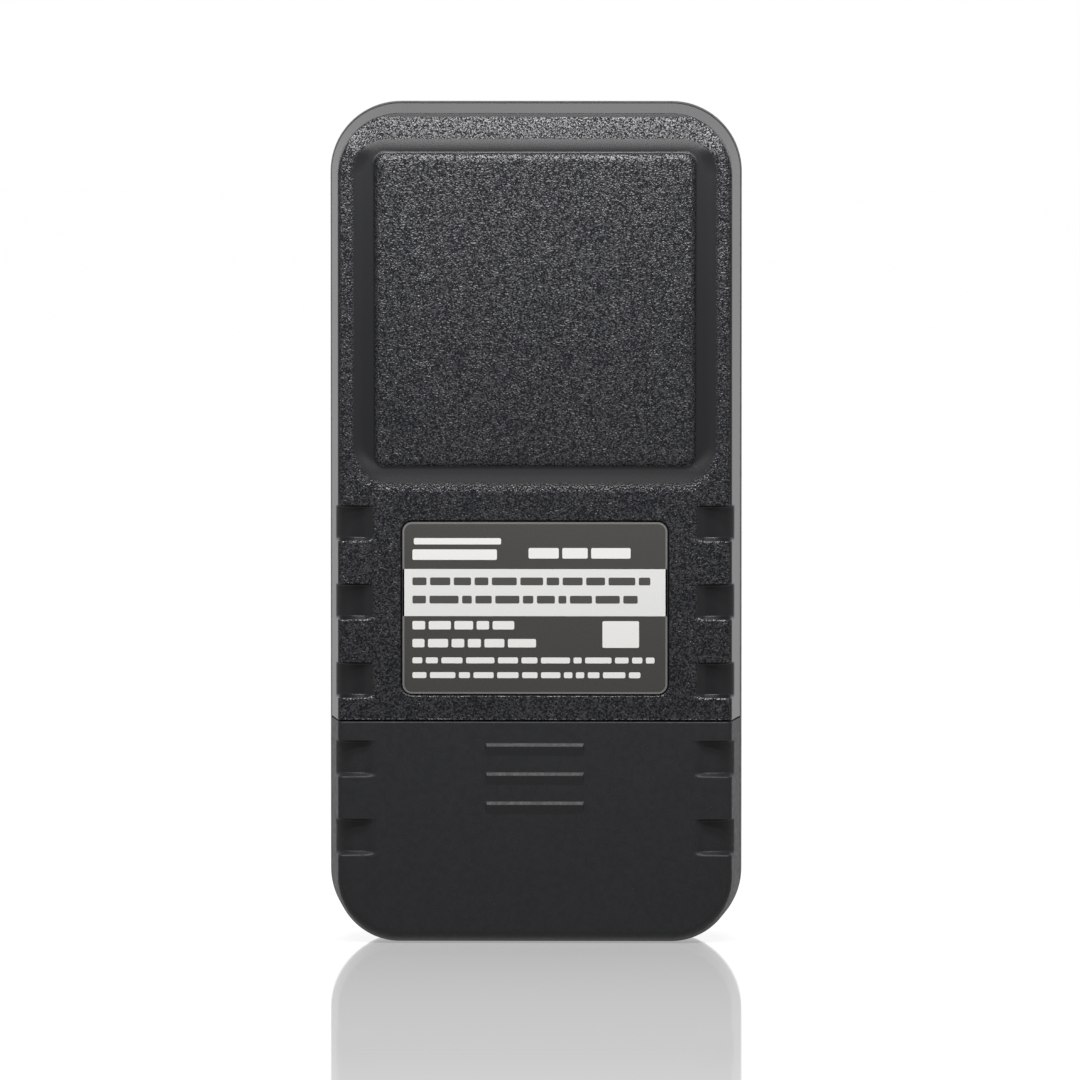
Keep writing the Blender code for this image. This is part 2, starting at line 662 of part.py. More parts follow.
def make_main_board(materials):
    board = block("main_board", (-BOARD_HALF_WIDTH, BOARD_HALF_WIDTH), BOARD_Y, BOARD_Z)
    through = (BOARD_Y[0] - 1, BOARD_Y[1] + 1)
    for place in LABEL_SCREWS:
        cut(board, rod("hole", BOSS_RADIUS + GAP, place, through))
    for place in DOOR_SCREWS:
        cut(board, rod("hole", DOOR_BOSS_RADIUS + GAP, place, through))
    for place in BOARD_SCREWS:
        cut(board, rod("hole", BOARD_HOLE_RADIUS, place, through, 10))
    finish(board, "main_board", materials["board"], (0, BOARD_Y[0], 60), smooth=30)

    back = BOARD_Y[0] - 0.15
    chip = slab("processor_chip", (5.0, 5.0), CHIP_Z, (back - 1.2, back), 0.4, 2)
    finish(chip, "processor_chip", materials["chip"], (0, back, CHIP_Z))
    amplifier = block("amplifier_chip", (10.0, 14.0), (back - 1.3, back), (CHIP_Z - 2.5, CHIP_Z + 2.5))
    finish(amplifier, "amplifier_chip", materials["chip"], (12, back, CHIP_Z))
    low = (-14.8, CHIP_Z - 1.8)
    high = (-7.2, CHIP_Z + 1.8)
    crystal = loft("crystal_can", [outline(y, low, high, 1.79, 5) for y in (back - 3.0, back)])
    finish(crystal, "crystal_can", materials["steel"], (-11, back, CHIP_Z), smooth=30)
    top = ((2.6, back - 6.0), (2.9, back - 5.7))
    waist = ((2.9, back - 1.3), (2.6, back - 1.1), (2.9, back - 0.9))
    profile = (*top, *waist, (2.9, back))
    capacitor = turned("smoothing_capacitor", profile, (2.0, 40.0))
    finish(capacitor, "smoothing_capacitor", materials["capacitor"], (2, back, 40), smooth=30)


def make_antenna(materials):
    board = block("antenna_board", (-ANTENNA_HALF_WIDTH, ANTENNA_HALF_WIDTH), ANTENNA_Y, ANTENNA_Z)
    for place in ANTENNA_SCREWS:
        cut(board, rod("hole", BOARD_HOLE_RADIUS, place, (ANTENNA_Y[0] - 1, ANTENNA_Y[1] + 1), 10))
    finish(board, "antenna_board", materials["antenna"], (0, ANTENNA_Y[0], 90), smooth=30)

    middle = sum(ANTENNA_Z) / 2
    spacer = plate("antenna_spacer", SPACER_HALF, middle, SPACER_Y)
    cut(spacer, plate("opening", SPACER_OPENING, middle, (SPACER_Y[0] - 1, SPACER_Y[1] + 1)))
    finish(spacer, "antenna_spacer", materials["foam"], (0, SPACER_Y[1], middle))

    can = plate("rf_shield_can", SHIELD_HALF, middle, SHIELD_Y)
    inside = (SHIELD_HALF[0] - SHIELD_WALL, SHIELD_HALF[1] - SHIELD_WALL)
    cut(can, plate("inside", inside, middle, (SHIELD_Y[0] - 1, SHIELD_Y[1] - SHIELD_WALL)))
    finish(can, "rf_shield_can", materials["steel"], (0, SHIELD_Y[0], middle))

    pins = block("header_pins", (-6.5, 6.5), (-6.2, -4.2), (HEADER_Z - 1.25, HEADER_Z + 1.25))
    socket = block("header_socket", (-6.7, 6.7), (-1.2, 3.85), (HEADER_Z - 1.3, HEADER_Z + 1.3))
    for index in range(PIN_COUNT):
        x = PIN_PITCH * (index - (PIN_COUNT - 1) / 2)
        pin_x = (x - PIN_HALF, x + PIN_HALF)
        join(pins, block("pin", pin_x, (-4.5, 1.5), (HEADER_Z - PIN_HALF, HEADER_Z + PIN_HALF)))
        well_x = (x - PIN_WELL_HALF, x + PIN_WELL_HALF)
        cut(socket, block("well", well_x, (-2, 2.2), (HEADER_Z - PIN_WELL_HALF, HEADER_Z + PIN_WELL_HALF)))
    finish(pins, "header_pins", materials["brass"], (0, -6.2, HEADER_Z))
    finish(socket, "header_socket", materials["plastic"], (0, 3.85, HEADER_Z))


# ---------------------------------------------------------------- buttons

def make_switch(name, centre, half, materials):
    body = slab(f"{name}_switch_body", (half, half), centre[1], SWITCH_Y, 0.3, 1)
    body.data.transform(Matrix.Translation((centre[0] * MM, 0, 0)))
    cut(body, rod("well", 1.9, centre, (SWITCH_Y[0] + 0.15, 8), 16))
    finish(body, f"{name}_switch_body", materials["plastic"], (centre[0], SWITCH_Y[0], centre[1]))
    plunger = rod(f"{name}_plunger", 1.6, centre, (6.3, PLUNGER_TOP_Y), 16)
    finish(plunger, f"{name}_plunger", materials["plunger"], (centre[0], PLUNGER_TOP_Y, centre[1]), smooth=30)


def make_measure_button(materials):
    crest = HALF_DEPTH + PROUD
    profile = (
        (0.8, crest - 1.1),
        (3.5, crest - 1.0),
        (6.5, crest - 0.65),
        (8.8, crest - 0.12),
        (9.6, crest),
        (10.4, crest - 0.15),
        (10.85, crest - 0.55),
        (MEASURE_RADIUS, crest - 1.1),
        (MEASURE_RADIUS, FLANGE_Y[1]),
        (12.4, FLANGE_Y[1]),
        (12.4, FLANGE_Y[0]),
        (9.4, FLANGE_Y[0]),
        (9.2, 8.5),
        (2.2, 8.5),
        (2.0, STEM_Y),
    )
    centre = (0.0, MEASURE_Z)
    button = turned("measure_button", profile, centre, sides=30)
    finish(button, "measure_button", materials["red"], (0, STEM_Y, MEASURE_Z), smooth=35)
    make_switch("measure", centre, 3.0, materials)


def make_keys(materials):
    for x, name in key_places():
        key = loft(
            f"{name}_button",
            [
                key_outline(FLANGE_Y[0], x, 1.0),
                key_outline(FLANGE_Y[1], x, 1.0),
                key_outline(FLANGE_Y[1], x, 0.0),
                key_outline(10.3, x, 0.0),
                key_outline(10.6, x, -0.2),
                key_outline(10.7, x, -0.6),
            ],
        )
        pocket = (x - 2.75, x + 2.75), (FLANGE_Y[0] - 1, STEM_Y), (KEY_Z - 2.75, KEY_Z + 2.75)
        cut(key, block("pocket", *pocket))
        finish(key, f"{name}_button", materials["key"], (x, STEM_Y, KEY_Z), smooth=35)
        make_switch(name, (x, KEY_Z), 2.3, materials)


# ---------------------------------------------------------------- power

def make_battery(name, height, nub_side, material):
    """A size AAA cell along X, with its positive nub towards nub_side."""
    profile = [
        (4.6, -BATTERY_BASE_X),
        (5.0, -BATTERY_BASE_X),
        (BATTERY_RADIUS, -BATTERY_BASE_X + 0.3),
        (BATTERY_RADIUS, 21.9),
        (4.9, 22.2),
        (1.9, 22.3),
        (1.9, BATTERY_NUB_X - 0.2),
        (1.7, BATTERY_NUB_X),
    ]
    profile = [(radius, nub_side * along) for radius, along in profile]
    cell = turned(name, profile, (BATTERY_Y, height), axis="X", sides=20)
    return finish(cell, name, material, (0, BATTERY_Y, height), smooth=40)


def contact_plate(name, side, low, high, dimples, tabs):
    limits = sorted(side * x for x in PLATE_X)
    contact = block(name, limits, PLATE_Y, (low, high))
    for height in dimples:
        profile = ((1.2, side * PLATE_DIMPLE_X), (2.0, side * (PLATE_X[0] + 0.1)))
        join(contact, turned("dimple", profile, (BATTERY_Y, height), axis="X", sides=12))
    for height in tabs:
        tab_height = (height - TAB_HALF_WIDTH, height + TAB_HALF_WIDTH)
        join(contact, block("tab", limits, (PLATE_Y[1] - 0.2, TAB_END_Y), tab_height))
    return contact


def make_spring(name, side, height, material):
    """A conical spring: its narrow end meets the cell and its wide end the plate."""
    steps_per_turn = 14
    total = int(SPRING_TURNS * steps_per_turn)
    curve = bpy.data.curves.new(name, "CURVE")
    curve.dimensions = "3D"
    curve.bevel_depth = SPRING_WIRE_RADIUS * MM
    curve.bevel_resolution = 1
    curve.use_fill_caps = True
    spline = curve.splines.new("POLY")
    spline.points.add(total)
    for index in range(total + 1):
        share = index / total
        angle = 2 * math.pi * SPRING_TURNS * share
        radius = SPRING_RADII[0] + (SPRING_RADII[1] - SPRING_RADII[0]) * share
        travel = SPRING_X[1] - SPRING_X[0] - 2 * SPRING_WIRE_RADIUS
        x = side * (SPRING_X[0] + SPRING_WIRE_RADIUS + travel * share)
        y = radius * math.cos(angle)
        z = radius * math.sin(angle)
        spline.points[index].co = (x * MM, y * MM, z * MM, 1.0)
    curve.materials.append(material)
    spring = bpy.data.objects.new(name, curve)
    bpy.context.scene.collection.objects.link(spring)
    spring.location = (0, BATTERY_Y * MM, height * MM)
    spring.parent = ASSEMBLY


def make_power(materials):
    make_battery("battery_upper", BATTERY_HIGH_Z, -1, materials["cell"])
    make_battery("battery_lower", BATTERY_LOW_Z, 1, materials["cell"])
    upper = (BATTERY_HIGH_Z - PLATE_HALF_HEIGHT, BATTERY_HIGH_Z + PLATE_HALF_HEIGHT)
    lower = (BATTERY_LOW_Z - PLATE_HALF_HEIGHT, BATTERY_LOW_Z + PLATE_HALF_HEIGHT)
    contacts = (
        ("positive_contact", -1, *upper, (BATTERY_HIGH_Z,), (BATTERY_HIGH_Z,)),
        ("negative_contact", -1, *lower, (), (BATTERY_LOW_Z,)),
        ("bridge_contact", 1, lower[0], upper[1], (BATTERY_LOW_Z,), (BATTERY_LOW_Z, BATTERY_HIGH_Z)),
    )
    for name, side, low, high, dimples, tabs in contacts:
        contact = contact_plate(name, side, low, high, dimples, tabs)
        origin = (side * PLATE_X[0], BATTERY_Y, (low + high) / 2)
        finish(contact, name, materials["nickel"], origin)
    make_spring("negative_spring", -1, BATTERY_LOW_Z, materials["nickel"])
    make_spring("bridge_spring", 1, BATTERY_HIGH_Z, materials["nickel"])


# ---------------------------------------------------------------- screws

def make_screws(prefix, places, head_y, length, direction, material):
    """Equal screws along Y. Each head starts at head_y, and its shank runs on in direction (+1 or -1)."""
    seat = head_y + direction * HEAD_HEIGHT
    tip = seat + direction * length
    profile = (
        (1.3, head_y),
        (HEAD_RADIUS, head_y + direction * 0.35),
        (HEAD_RADIUS, seat),
        (SHANK_RADIUS, seat),
        (SHANK_RADIUS, tip - direction * 0.5),
        (0.5, tip),
    )
    for index, place in enumerate(places, start=1):
        name = f"{prefix}_{index}"
        screw = turned(name, profile, place, sides=12)
        finish(screw, name, material, (place[0], seat, place[1]), smooth=35)


def make_all():
    materials = {
        "housing": paint("housing_black", (0.022, 0.023, 0.025), 0.55),
        "door": paint("door_black", (0.024, 0.025, 0.027), 0.6),
        "fascia": paint("fascia_dark_grey", (0.035, 0.036, 0.038), 0.3),
        "label": paint("label_grey", (0.06, 0.056, 0.052), 0.45),
        "lens": paint("lens_clear", (0.25, 0.27, 0.25), 0.05),
        "rubber": paint("black_rubber", (0.03, 0.03, 0.03), 0.8),
        "plastic": paint("black_plastic", (0.02, 0.02, 0.02), 0.5),
        "lcd": paint("lcd_grey_green", (0.33, 0.36, 0.3), 0.2),
        "white": paint("backlight_white", (0.8, 0.8, 0.78), 0.4),
        "board": paint("board_green", (0.02, 0.13, 0.05), 0.4),
        "antenna": paint("antenna_board_white", (0.55, 0.52, 0.42), 0.4),
        "chip": paint("chip_black", (0.015, 0.015, 0.016), 0.45),
        "steel": paint("tinned_steel", (0.55, 0.55, 0.54), 0.3, 1.0),
        "capacitor": paint("capacitor_sleeve", (0.02, 0.03, 0.08), 0.35),
        "foam": paint("grey_foam", (0.1, 0.1, 0.1), 0.95),
        "brass": paint("gold_pins", (0.6, 0.42, 0.15), 0.3, 1.0),
        "red": paint("button_red", (0.42, 0.015, 0.012), 0.4),
        "key": paint("key_grey", (0.22, 0.22, 0.22), 0.5),
        "plunger": paint("plunger_grey", (0.3, 0.3, 0.3), 0.5),
        "cell": paint("cell_wrap", (0.03, 0.06, 0.12), 0.3, 0.4),
        "nickel": paint("nickel_plate", (0.62, 0.6, 0.56), 0.28, 1.0),
        "screw": paint("zinc_steel", (0.4, 0.4, 0.4), 0.35, 1.0),
    }
    make_front_housing(materials["housing"])
    make_back_housing(materials["housing"])
    make_battery_door(materials["door"])
    make_front_fascia(materials["fascia"])
    make_door_foam_pad(materials["foam"])
    make_rating_label(materials["label"])
    make_display(materials)
    make_main_board(materials)
    make_antenna(materials)
    make_measure_button(materials)
    make_keys(materials)
    make_power(materials)
    screw = materials["screw"]
    make_screws("label_screw", LABEL_SCREWS, LABEL_SCREW_HEAD_Y, CASE_SCREW_LENGTH, 1, screw)
    make_screws("door_screw", DOOR_SCREWS, DOOR_SCREW_HEAD_Y, CASE_SCREW_LENGTH, 1, screw)
    make_screws("board_screw", BOARD_SCREWS, BOARD_SCREW_HEAD_Y, BOARD_SCREW_LENGTH, 1, screw)
    make_screws("antenna_screw", ANTENNA_SCREWS, ANTENNA_SCREW_HEAD_Y, ANTENNA_SCREW_LENGTH, -1, screw)


for leftover in list(bpy.data.objects):
    bpy.data.objects.remove(leftover)
ASSEMBLY = bpy.data.objects.new("speed_radar", None)
bpy.context.scene.collection.objects.link(ASSEMBLY)
make_all()
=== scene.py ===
"""The looks of a palm-size handheld speed radar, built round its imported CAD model.

Lengths are in millimetres in the model's own frame (X width, Y back to front, Z up), and MM turns them
into metres as each mesh is made. The fine shells repeat the case's outline formulas, and take their
inside from the CAD solids.
"""

import math
import random

import bmesh
import bpy
import numpy as np
from mathutils import Matrix, Vector


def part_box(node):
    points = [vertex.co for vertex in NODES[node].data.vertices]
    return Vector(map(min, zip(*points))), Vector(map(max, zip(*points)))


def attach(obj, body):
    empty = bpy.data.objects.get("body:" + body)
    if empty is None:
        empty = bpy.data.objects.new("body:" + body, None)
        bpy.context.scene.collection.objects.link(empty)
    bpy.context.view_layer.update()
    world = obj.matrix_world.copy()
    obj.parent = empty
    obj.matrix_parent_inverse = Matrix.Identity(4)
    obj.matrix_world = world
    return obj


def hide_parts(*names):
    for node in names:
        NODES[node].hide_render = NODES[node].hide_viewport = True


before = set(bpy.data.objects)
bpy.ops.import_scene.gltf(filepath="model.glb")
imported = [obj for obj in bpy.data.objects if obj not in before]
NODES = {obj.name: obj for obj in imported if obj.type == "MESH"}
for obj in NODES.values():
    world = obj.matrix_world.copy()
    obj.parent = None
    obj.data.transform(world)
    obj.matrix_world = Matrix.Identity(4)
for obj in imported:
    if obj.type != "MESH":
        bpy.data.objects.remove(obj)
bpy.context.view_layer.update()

MM = 0.001


def cad_box(node):
    """A CAD node's limits in millimetres, as (low, high)."""
    low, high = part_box(node)
    return low / MM, high / MM


# ---- case dimensions

FRONT_LOW, FRONT_HIGH = cad_box("front_housing")
CASE_WIDTH = FRONT_HIGH.x - FRONT_LOW.x
CASE_HEIGHT = FRONT_HIGH.z - FRONT_LOW.z
HALF_DEPTH = FRONT_HIGH.y
CORNER_RADIUS = 10.0
CENTRE_X = CASE_WIDTH / 2 - CORNER_RADIUS
WIDEST_Y = 1.0
BACK_RIM_Y = -0.8
FRONT_RIM_Y = -0.5
SIDE_DRAFT = 1.25
TOP_DRAFT = 1.55
BOTTOM_DRAFT = 0.5
# Rounded edges at the back, as (y where they start, span, depth).
BACK_FILLET = (-9.9, 0.9, 0.75)
BOTTOM_FILLET = (-9.3, 1.5, 1.2)
BOTTOM_FLAT_END = -6.5
FRONT_INSET = 4.9
FRONT_POWER = 2.2
BOTTOM_FRONT_START = 7.0

# Rounded rectangles on the back, as (half width, low z, high z, corner radius).
PAD = (22.65, 68.1, 112.2, 1.5)
CHANNEL = (26.3, 64.2, 115.1, 5.6)
LABEL_LOW, LABEL_HIGH = cad_box("rating_label")
RECESS = (LABEL_HIGH.x + 0.2, LABEL_LOW.z - 0.2, LABEL_HIGH.z + 0.2, 1.6)
RECESS_DEPTH = 0.4
CHANNEL_DEPTH = 0.7
CROWN_FALL = 1.1
GROOVES = [59.9 - 11.17 * index for index in range(5)]
GROOVE_HALF_HEIGHT = 2.35
GROOVE_DEPTH = 0.85
GROOVE_INNER_X = 23.0
GROOVE_POWER = 3.2
DOOR_TOP = 31.6
SEAM_TOP = 31.74
RIB_TOPS = (28.5, 24.35, 20.2)
RIB_HALF_WIDTH = 6.95
RIB_HEIGHT = 0.35
RIB_RISE = 0.45
RIB_FALL = 1.3
EDGE_RADIUS = 0.2

# Edges of a groove, each as where the sinking starts and ends, and its floor's gap to the side.
GROOVE_UPPER_EDGE = (-0.16, 0.2)
GROOVE_LOWER_EDGE = (-0.4, 0.25)
GROOVE_INNER_EDGE = (GROOVE_INNER_X - 0.7, GROOVE_INNER_X + 1.6)
GROOVE_SIDE_GAP = 0.1

# The pad's edge: how far inside it starts, its width and its power. The channel's cove: its width at the
# sides, and what is added to that below and above (from z, to z, amount).
PAD_EDGE = (0.75, 1.05, 2.2)
COVE_WIDTH = 2.1
COVE_POWER = 1.35
COVE_CHANGES = ((71.0, 67.0, 2.4), (109.0, 113.0, -0.2))

# The fall of the back above the pad: the directions from the pad's corners between which it sets in, where
# it starts past the pad, over what width, how far on it goes and its power.
CROWN_SPREAD = (0.3, 0.95)
CROWN_START = 0.6
CROWN_WIDTH = 4.8
CROWN_LIMIT = 1.2
CROWN_POWER = 1.6

# The shells' inner side as (y, how far inside the outline), and the blocks that part the CAD solids.
HOLLOW = ((-9.5, 2.6), (-9.1, 2.0), (-8.6, 1.75), (-7.8, 1.5), (-4.0, 1.2), (1.0, 1.2))
DOOR_HOLLOW_GAP = 0.05
CORE_BOTTOM = 32.6
TUB_TOP = 31.95
LINK_Z = (31.0, 32.7)
SCREW_BORES = ((-18, 18), (-10.6, -9.5), (41, 48))
LATCH_POCKET = ((-9, 9), (-10.3, -9.5), (31, 34.6))
LATCH = ((-12, 12), (-9.75, -8), (30.8, 40))
FAR_DOWN = -10
FAR_UP = 40


# ---- outline formulas

def rounding(distance, span, depth, power=2.0):
    share = np.clip(np.asarray(distance, float) / span, 0.0, 1.0)
    return depth * (1.0 - (1.0 - share ** power) ** (1.0 / power))


def front_rounding(y, start):
    return rounding(y - start, HALF_DEPTH - start, FRONT_INSET, FRONT_POWER)


def back_inset(y, start, draft, edge=BACK_FILLET):
    """The draft from start back to the rounded edge, and the edge itself."""
    y = np.asarray(y, float)
    fillet, span, depth = edge
    return draft * np.clip((start - y) / (start - fillet), 0.0, 1.0) + rounding(fillet - y, span, depth)


def side_inset(y):
    return back_inset(y, WIDEST_Y, SIDE_DRAFT) + front_rounding(y, WIDEST_Y)


def top_inset(y):
    return back_inset(y, WIDEST_Y, TOP_DRAFT) + front_rounding(y, WIDEST_Y)


def bottom_inset(y):
    front = front_rounding(y, BOTTOM_FRONT_START)
    return back_inset(y, BOTTOM_FLAT_END, BOTTOM_DRAFT, BOTTOM_FILLET) + front


def smoothstep(low, high, value):
    share = np.clip((value - low) / (high - low), 0.0, 1.0)
    return share * share * (3.0 - 2.0 * share)


def rounded_distance(x, z, shape):
    """Signed distance to a rounded rectangle centred on X, given as (half width, low, high, radius)."""
    half, low, high, radius = shape
    across = np.abs(x) - half + radius
    up = np.abs(z - (low + high) / 2) - (high - low) / 2 + radius
    outside = np.hypot(np.maximum(across, 0), np.maximum(up, 0))
    return outside + np.minimum(np.maximum(across, up), 0) - radius


# ---- mesh helpers

def add_object(name, data):
    made = bpy.data.objects.new(name, data)
    bpy.context.scene.collection.objects.link(made)
    return made


def mesh_piece(name, points, faces):
    """A new object from points in millimetres and faces."""
    mesh = bpy.data.meshes.new(name)
    mesh.from_pydata((np.asarray(points, float) * MM).tolist(), [], faces)
    mesh.validate()
    return add_object(name, mesh)


def turn_outward(piece):
    bm = bmesh.new()
    bm.from_mesh(piece.data)
    bmesh.ops.recalc_face_normals(bm, faces=bm.faces)
    bm.to_mesh(piece.data)
    bm.free()
    return piece


def outline(y, low, high, radius, steps=12):
    """A rounded rectangle in the plane at y, from corner low to corner high, each as (x, z)."""
    corners = (
        (high[0] - radius, high[1] - radius),
        (low[0] + radius, high[1] - radius),
        (low[0] + radius, low[1] + radius),
        (high[0] - radius, low[1] + radius),
    )
    points = []
    for quarter, (x, z) in enumerate(corners):
        for step in range(steps + 1):
            angle = math.radians(90.0 * (quarter + step / steps))
            points.append((x + radius * math.cos(angle), y, z + radius * math.sin(angle)))
    return points


def inset_outline(y, side, top, bottom, steps=12):
    half = CASE_WIDTH / 2 - side
    radius = max(CORNER_RADIUS - side, 1.2)
    return outline(y, (-half, bottom), (half, CASE_HEIGHT - top), radius, steps)


def case_outline(y, inward=0.0, steps=12):
    insets = (side_inset(y), top_inset(y), bottom_inset(y))
    return inset_outline(y, *(float(inset) + inward for inset in insets), steps=steps)


def loft(name, rings):
    """A closed solid through rings of equal length, with flat ends."""
    count = len(rings[0])
    points = [point for ring in rings for point in ring]
    faces = [list(range(count)), list(range((len(rings) - 1) * count, len(rings) * count))]
    for row in range(len(rings) - 1):
        for index in range(count):
            following = (index + 1) % count
            one = row * count
            other = one + count
            faces.append((one + index, one + following, other + following, other + index))
    return turn_outward(mesh_piece(name, points, faces))


def block(name, x, y, z):
    corners = [(a, b, c) for a in x for b in y for c in z]
    faces = ((0, 1, 3, 2), (4, 6, 7, 5), (0, 4, 5, 1), (2, 3, 7, 6), (0, 2, 6, 4), (1, 5, 7, 3))
    return turn_outward(mesh_piece(name, corners, faces))


def layer(name, low, high):
    """A block past the case on every side, between two heights."""
    return block(name, (-40, 40), (-20, 20), (low, high))


def slab(name, half, centre_z, y, radius, steps=10):
    low = (-half[0], centre_z - half[1])
    high = (half[0], centre_z + half[1])
    return loft(name, [outline(level, low, high, radius, steps) for level in y])


def soft_slab(name, half, centre, y, radius, edge, steps=10):
    """A rounded plate whose rim on the far side of y is rounded by edge."""
    rings = []
    back, front = y
    sign = 1 if front > back else -1
    levels = [(back, edge * 0.5), (back + sign * edge * 0.5, 0.0)]
    for step in range(6):
        angle = math.radians(90.0 * step / 5)
        levels.append((front - sign * edge * (1 - math.sin(angle)), edge * (1 - math.cos(angle))))
    for level, inward in levels:
        low = (centre[0] - half[0] + inward, centre[1] - half[1] + inward)
        high = (centre[0] + half[0] - inward, centre[1] + half[1] - inward)
        rings.append(outline(level, low, high, max(radius - inward, 0.05), steps))
    return loft(name, rings)


def turned(name, profile, centre, axis="Y", sides=96):
    """A solid turned round an axis through centre. The profile lists (radius, distance along the axis)."""
    rings = []
    for radius, along in profile:
        ring = []
        for step in range(sides):
            angle = 2 * math.pi * step / sides
            across = radius * math.cos(angle)
            up = radius * math.sin(angle)
            if axis == "Y":
                ring.append((centre[0] + across, along, centre[1] + up))
            else:
                ring.append((along, centre[0] + across, centre[1] + up))
        rings.append(ring)
    return loft(name, rings)


def rod(name, radius, centre, y, sides=96):
    return turned(name, ((radius, y[0]), (radius, y[1])), centre, sides=sides)


def combine(target, tools, operation):
    for tool in tools:
        boolean = target.modifiers.new(operation.lower(), "BOOLEAN")
        boolean.operation = operation
        boolean.solver = "MANIFOLD"
        boolean.object = tool
        graph = bpy.context.evaluated_depsgraph_get()
        result = bpy.data.meshes.new_from_object(target.evaluated_get(graph))
        target.modifiers.remove(boolean)
        target.data = result
        bpy.data.objects.remove(tool)
    return target


def join(target, *tools):
    return combine(target, tools, "UNION")


def cut(target, *tools):
    return combine(target, tools, "DIFFERENCE")


def keep(target, *tools):
    return combine(target, tools, "INTERSECT")


def cad_copy(node):
    """A closed, welded copy of a CAD node's solid."""
    mesh = NODES[node].data.copy()
    bm = bmesh.new()
    bm.from_mesh(mesh)
    bmesh.ops.remove_doubles(bm, verts=bm.verts, dist=1e-7)
    bm.to_mesh(mesh)
    bm.free()
    mesh.materials.clear()
    return add_object(f"{node}_copy", mesh)


def dress(piece, body, finish, stands_for=(), smooth=40):
    """Gives a new piece its material and its place in the frame."""
    piece.data.materials.clear()
    piece.data.materials.append(MATERIALS[finish])
    piece.data.shade_smooth()
    piece.data.set_sharp_from_angle(angle=math.radians(smooth))
    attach(piece, body)
    if stands_for:
        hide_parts(*stands_for)


# ---- materials

class Nodes:
    """Helpers for the nodes of a material or a world."""

    def __init__(self, owner):
        owner.use_nodes = True
        self.tree = owner.node_tree

    def put(self, node, inputs):
        """Sets a node's inputs to numbers, vectors or colours, or links outputs to them."""
        for key, value in inputs.items():
            socket = node.inputs[key]
            if isinstance(value, bpy.types.NodeSocket):
                self.tree.links.new(value, socket)
            elif socket.type == "RGBA":
                socket.default_value = (*value, 1.0)
            else:
                socket.default_value = value

    def node(self, kind, inputs, output=0, **settings):
        """Makes a node and gives one of its outputs."""
        made = self.tree.nodes.new(kind)
        for key, value in settings.items():
            setattr(made, key, value)
        self.put(made, inputs)
        return made.outputs[output]

    def maths(self, operation, *values):
        return self.node("ShaderNodeMath", dict(enumerate(values)), operation=operation)

    def add(self, first, second):
        return self.maths("ADD", first, second)

    def times(self, first, second):
        return self.maths("MULTIPLY", first, second)

    def larger(self, first, second):
        return self.maths("MAXIMUM", first, second)

    def remap(self, value, low, high, new_low=0.0, new_high=1.0):
        inputs = {"Value": value, "From Min": low, "From Max": high, "To Min": new_low, "To Max": new_high}
        return self.node("ShaderNodeMapRange", inputs, "Result", interpolation_type="SMOOTHSTEP")

    def falls(self, value, low, high):
        """One below low and nothing above high."""
        return self.remap(value, low, high, 1.0, 0.0)

    def part(self, vector, axis):
        return self.node("ShaderNodeSeparateXYZ", {0: vector}, axis)


class Shader(Nodes):
    """A Principled material. Texture sizes are in millimetres, as is the surface point, place."""

    def __init__(self, name, colour, roughness, metallic=0.0):
        self.material = bpy.data.materials.new(name)
        super().__init__(self.material)
        self.surface({"Base Color": colour, "Roughness": roughness, "Metallic": metallic})
        where = self.node("ShaderNodeTexCoord", {}, "Object")
        self.place = self.node("ShaderNodeVectorMath", {0: where, "Scale": 1.0 / MM}, operation="SCALE")

    def surface(self, inputs):
        self.put(self.tree.nodes["Principled BSDF"], inputs)

    def axis(self, name):
        return self.part(self.place, name)

    def stretched(self, factors):
        return self.node("ShaderNodeVectorMath", {0: self.place, 1: factors}, operation="MULTIPLY")

    def noise(self, size, detail=2.0, rough=0.5, place=None):
        inputs = {"Vector": place or self.place, "Scale": 1.0 / size, "Detail": detail, "Roughness": rough}
        return self.node("ShaderNodeTexNoise", inputs, "Fac")

    def cells(self, size, feature="F1"):
        inputs = {"Vector": self.place, "Scale": 1.0 / size}
        return self.node("ShaderNodeTexVoronoi", inputs, "Distance", feature=feature)

    def mix(self, share, first, second):
        """A colour between two colours or colour outputs."""
        inputs = {"Factor": share, "A": first, "B": second}
        return self.node("ShaderNodeMix", inputs, "Result", data_type="RGBA")

    def colour(self, output):
        self.surface({"Base Color": output})

    def roughness(self, output):
        self.surface({"Roughness": output})

    def patchy_colour(self, size, first, second):
        self.colour(self.mix(self.noise(size, 3.0), first, second))

    def patchy_roughness(self, size, low, high):
        self.roughness(self.remap(self.noise(size, 3.0), 0.3, 0.7, low, high))

    def bump(self, height, depth, strength=1.0, after=None):
        """A bump of this depth in millimetres. Strength may be a number or an output."""
        inputs = {"Distance": depth * MM, "Strength": strength, "Height": height}
        if after is not None:
            inputs["Normal"] = after
        normal = self.node("ShaderNodeBump", inputs)
        self.surface({"Normal": normal})
        return normal


def plain_plastic(name, colour, roughness, grain=0.12, depth=0.004):
    """Moulded plastic with a fine grain and a slight unevenness of colour."""
    made = Shader(name, colour, roughness)
    made.patchy_colour(6.0, tuple(channel * 0.86 for channel in colour), colour)
    made.patchy_roughness(1.7, roughness * 0.9, min(roughness * 1.1, 1.0))
    made.bump(made.noise(grain, 2.0), depth)
    return made.material


def metal(name, colour, roughness, streak=(1.0, 1.0, 1.0)):
    made = Shader(name, colour, roughness, 1.0)
    streaks = made.noise(0.5, 4.0, 0.6, made.stretched(streak))
    made.roughness(made.remap(streaks, 0.3, 0.7, roughness * 0.75, roughness * 1.3))
    made.patchy_colour(2.0, tuple(channel * 0.85 for channel in colour), colour)
    made.bump(streaks, 0.003)
    return made.material


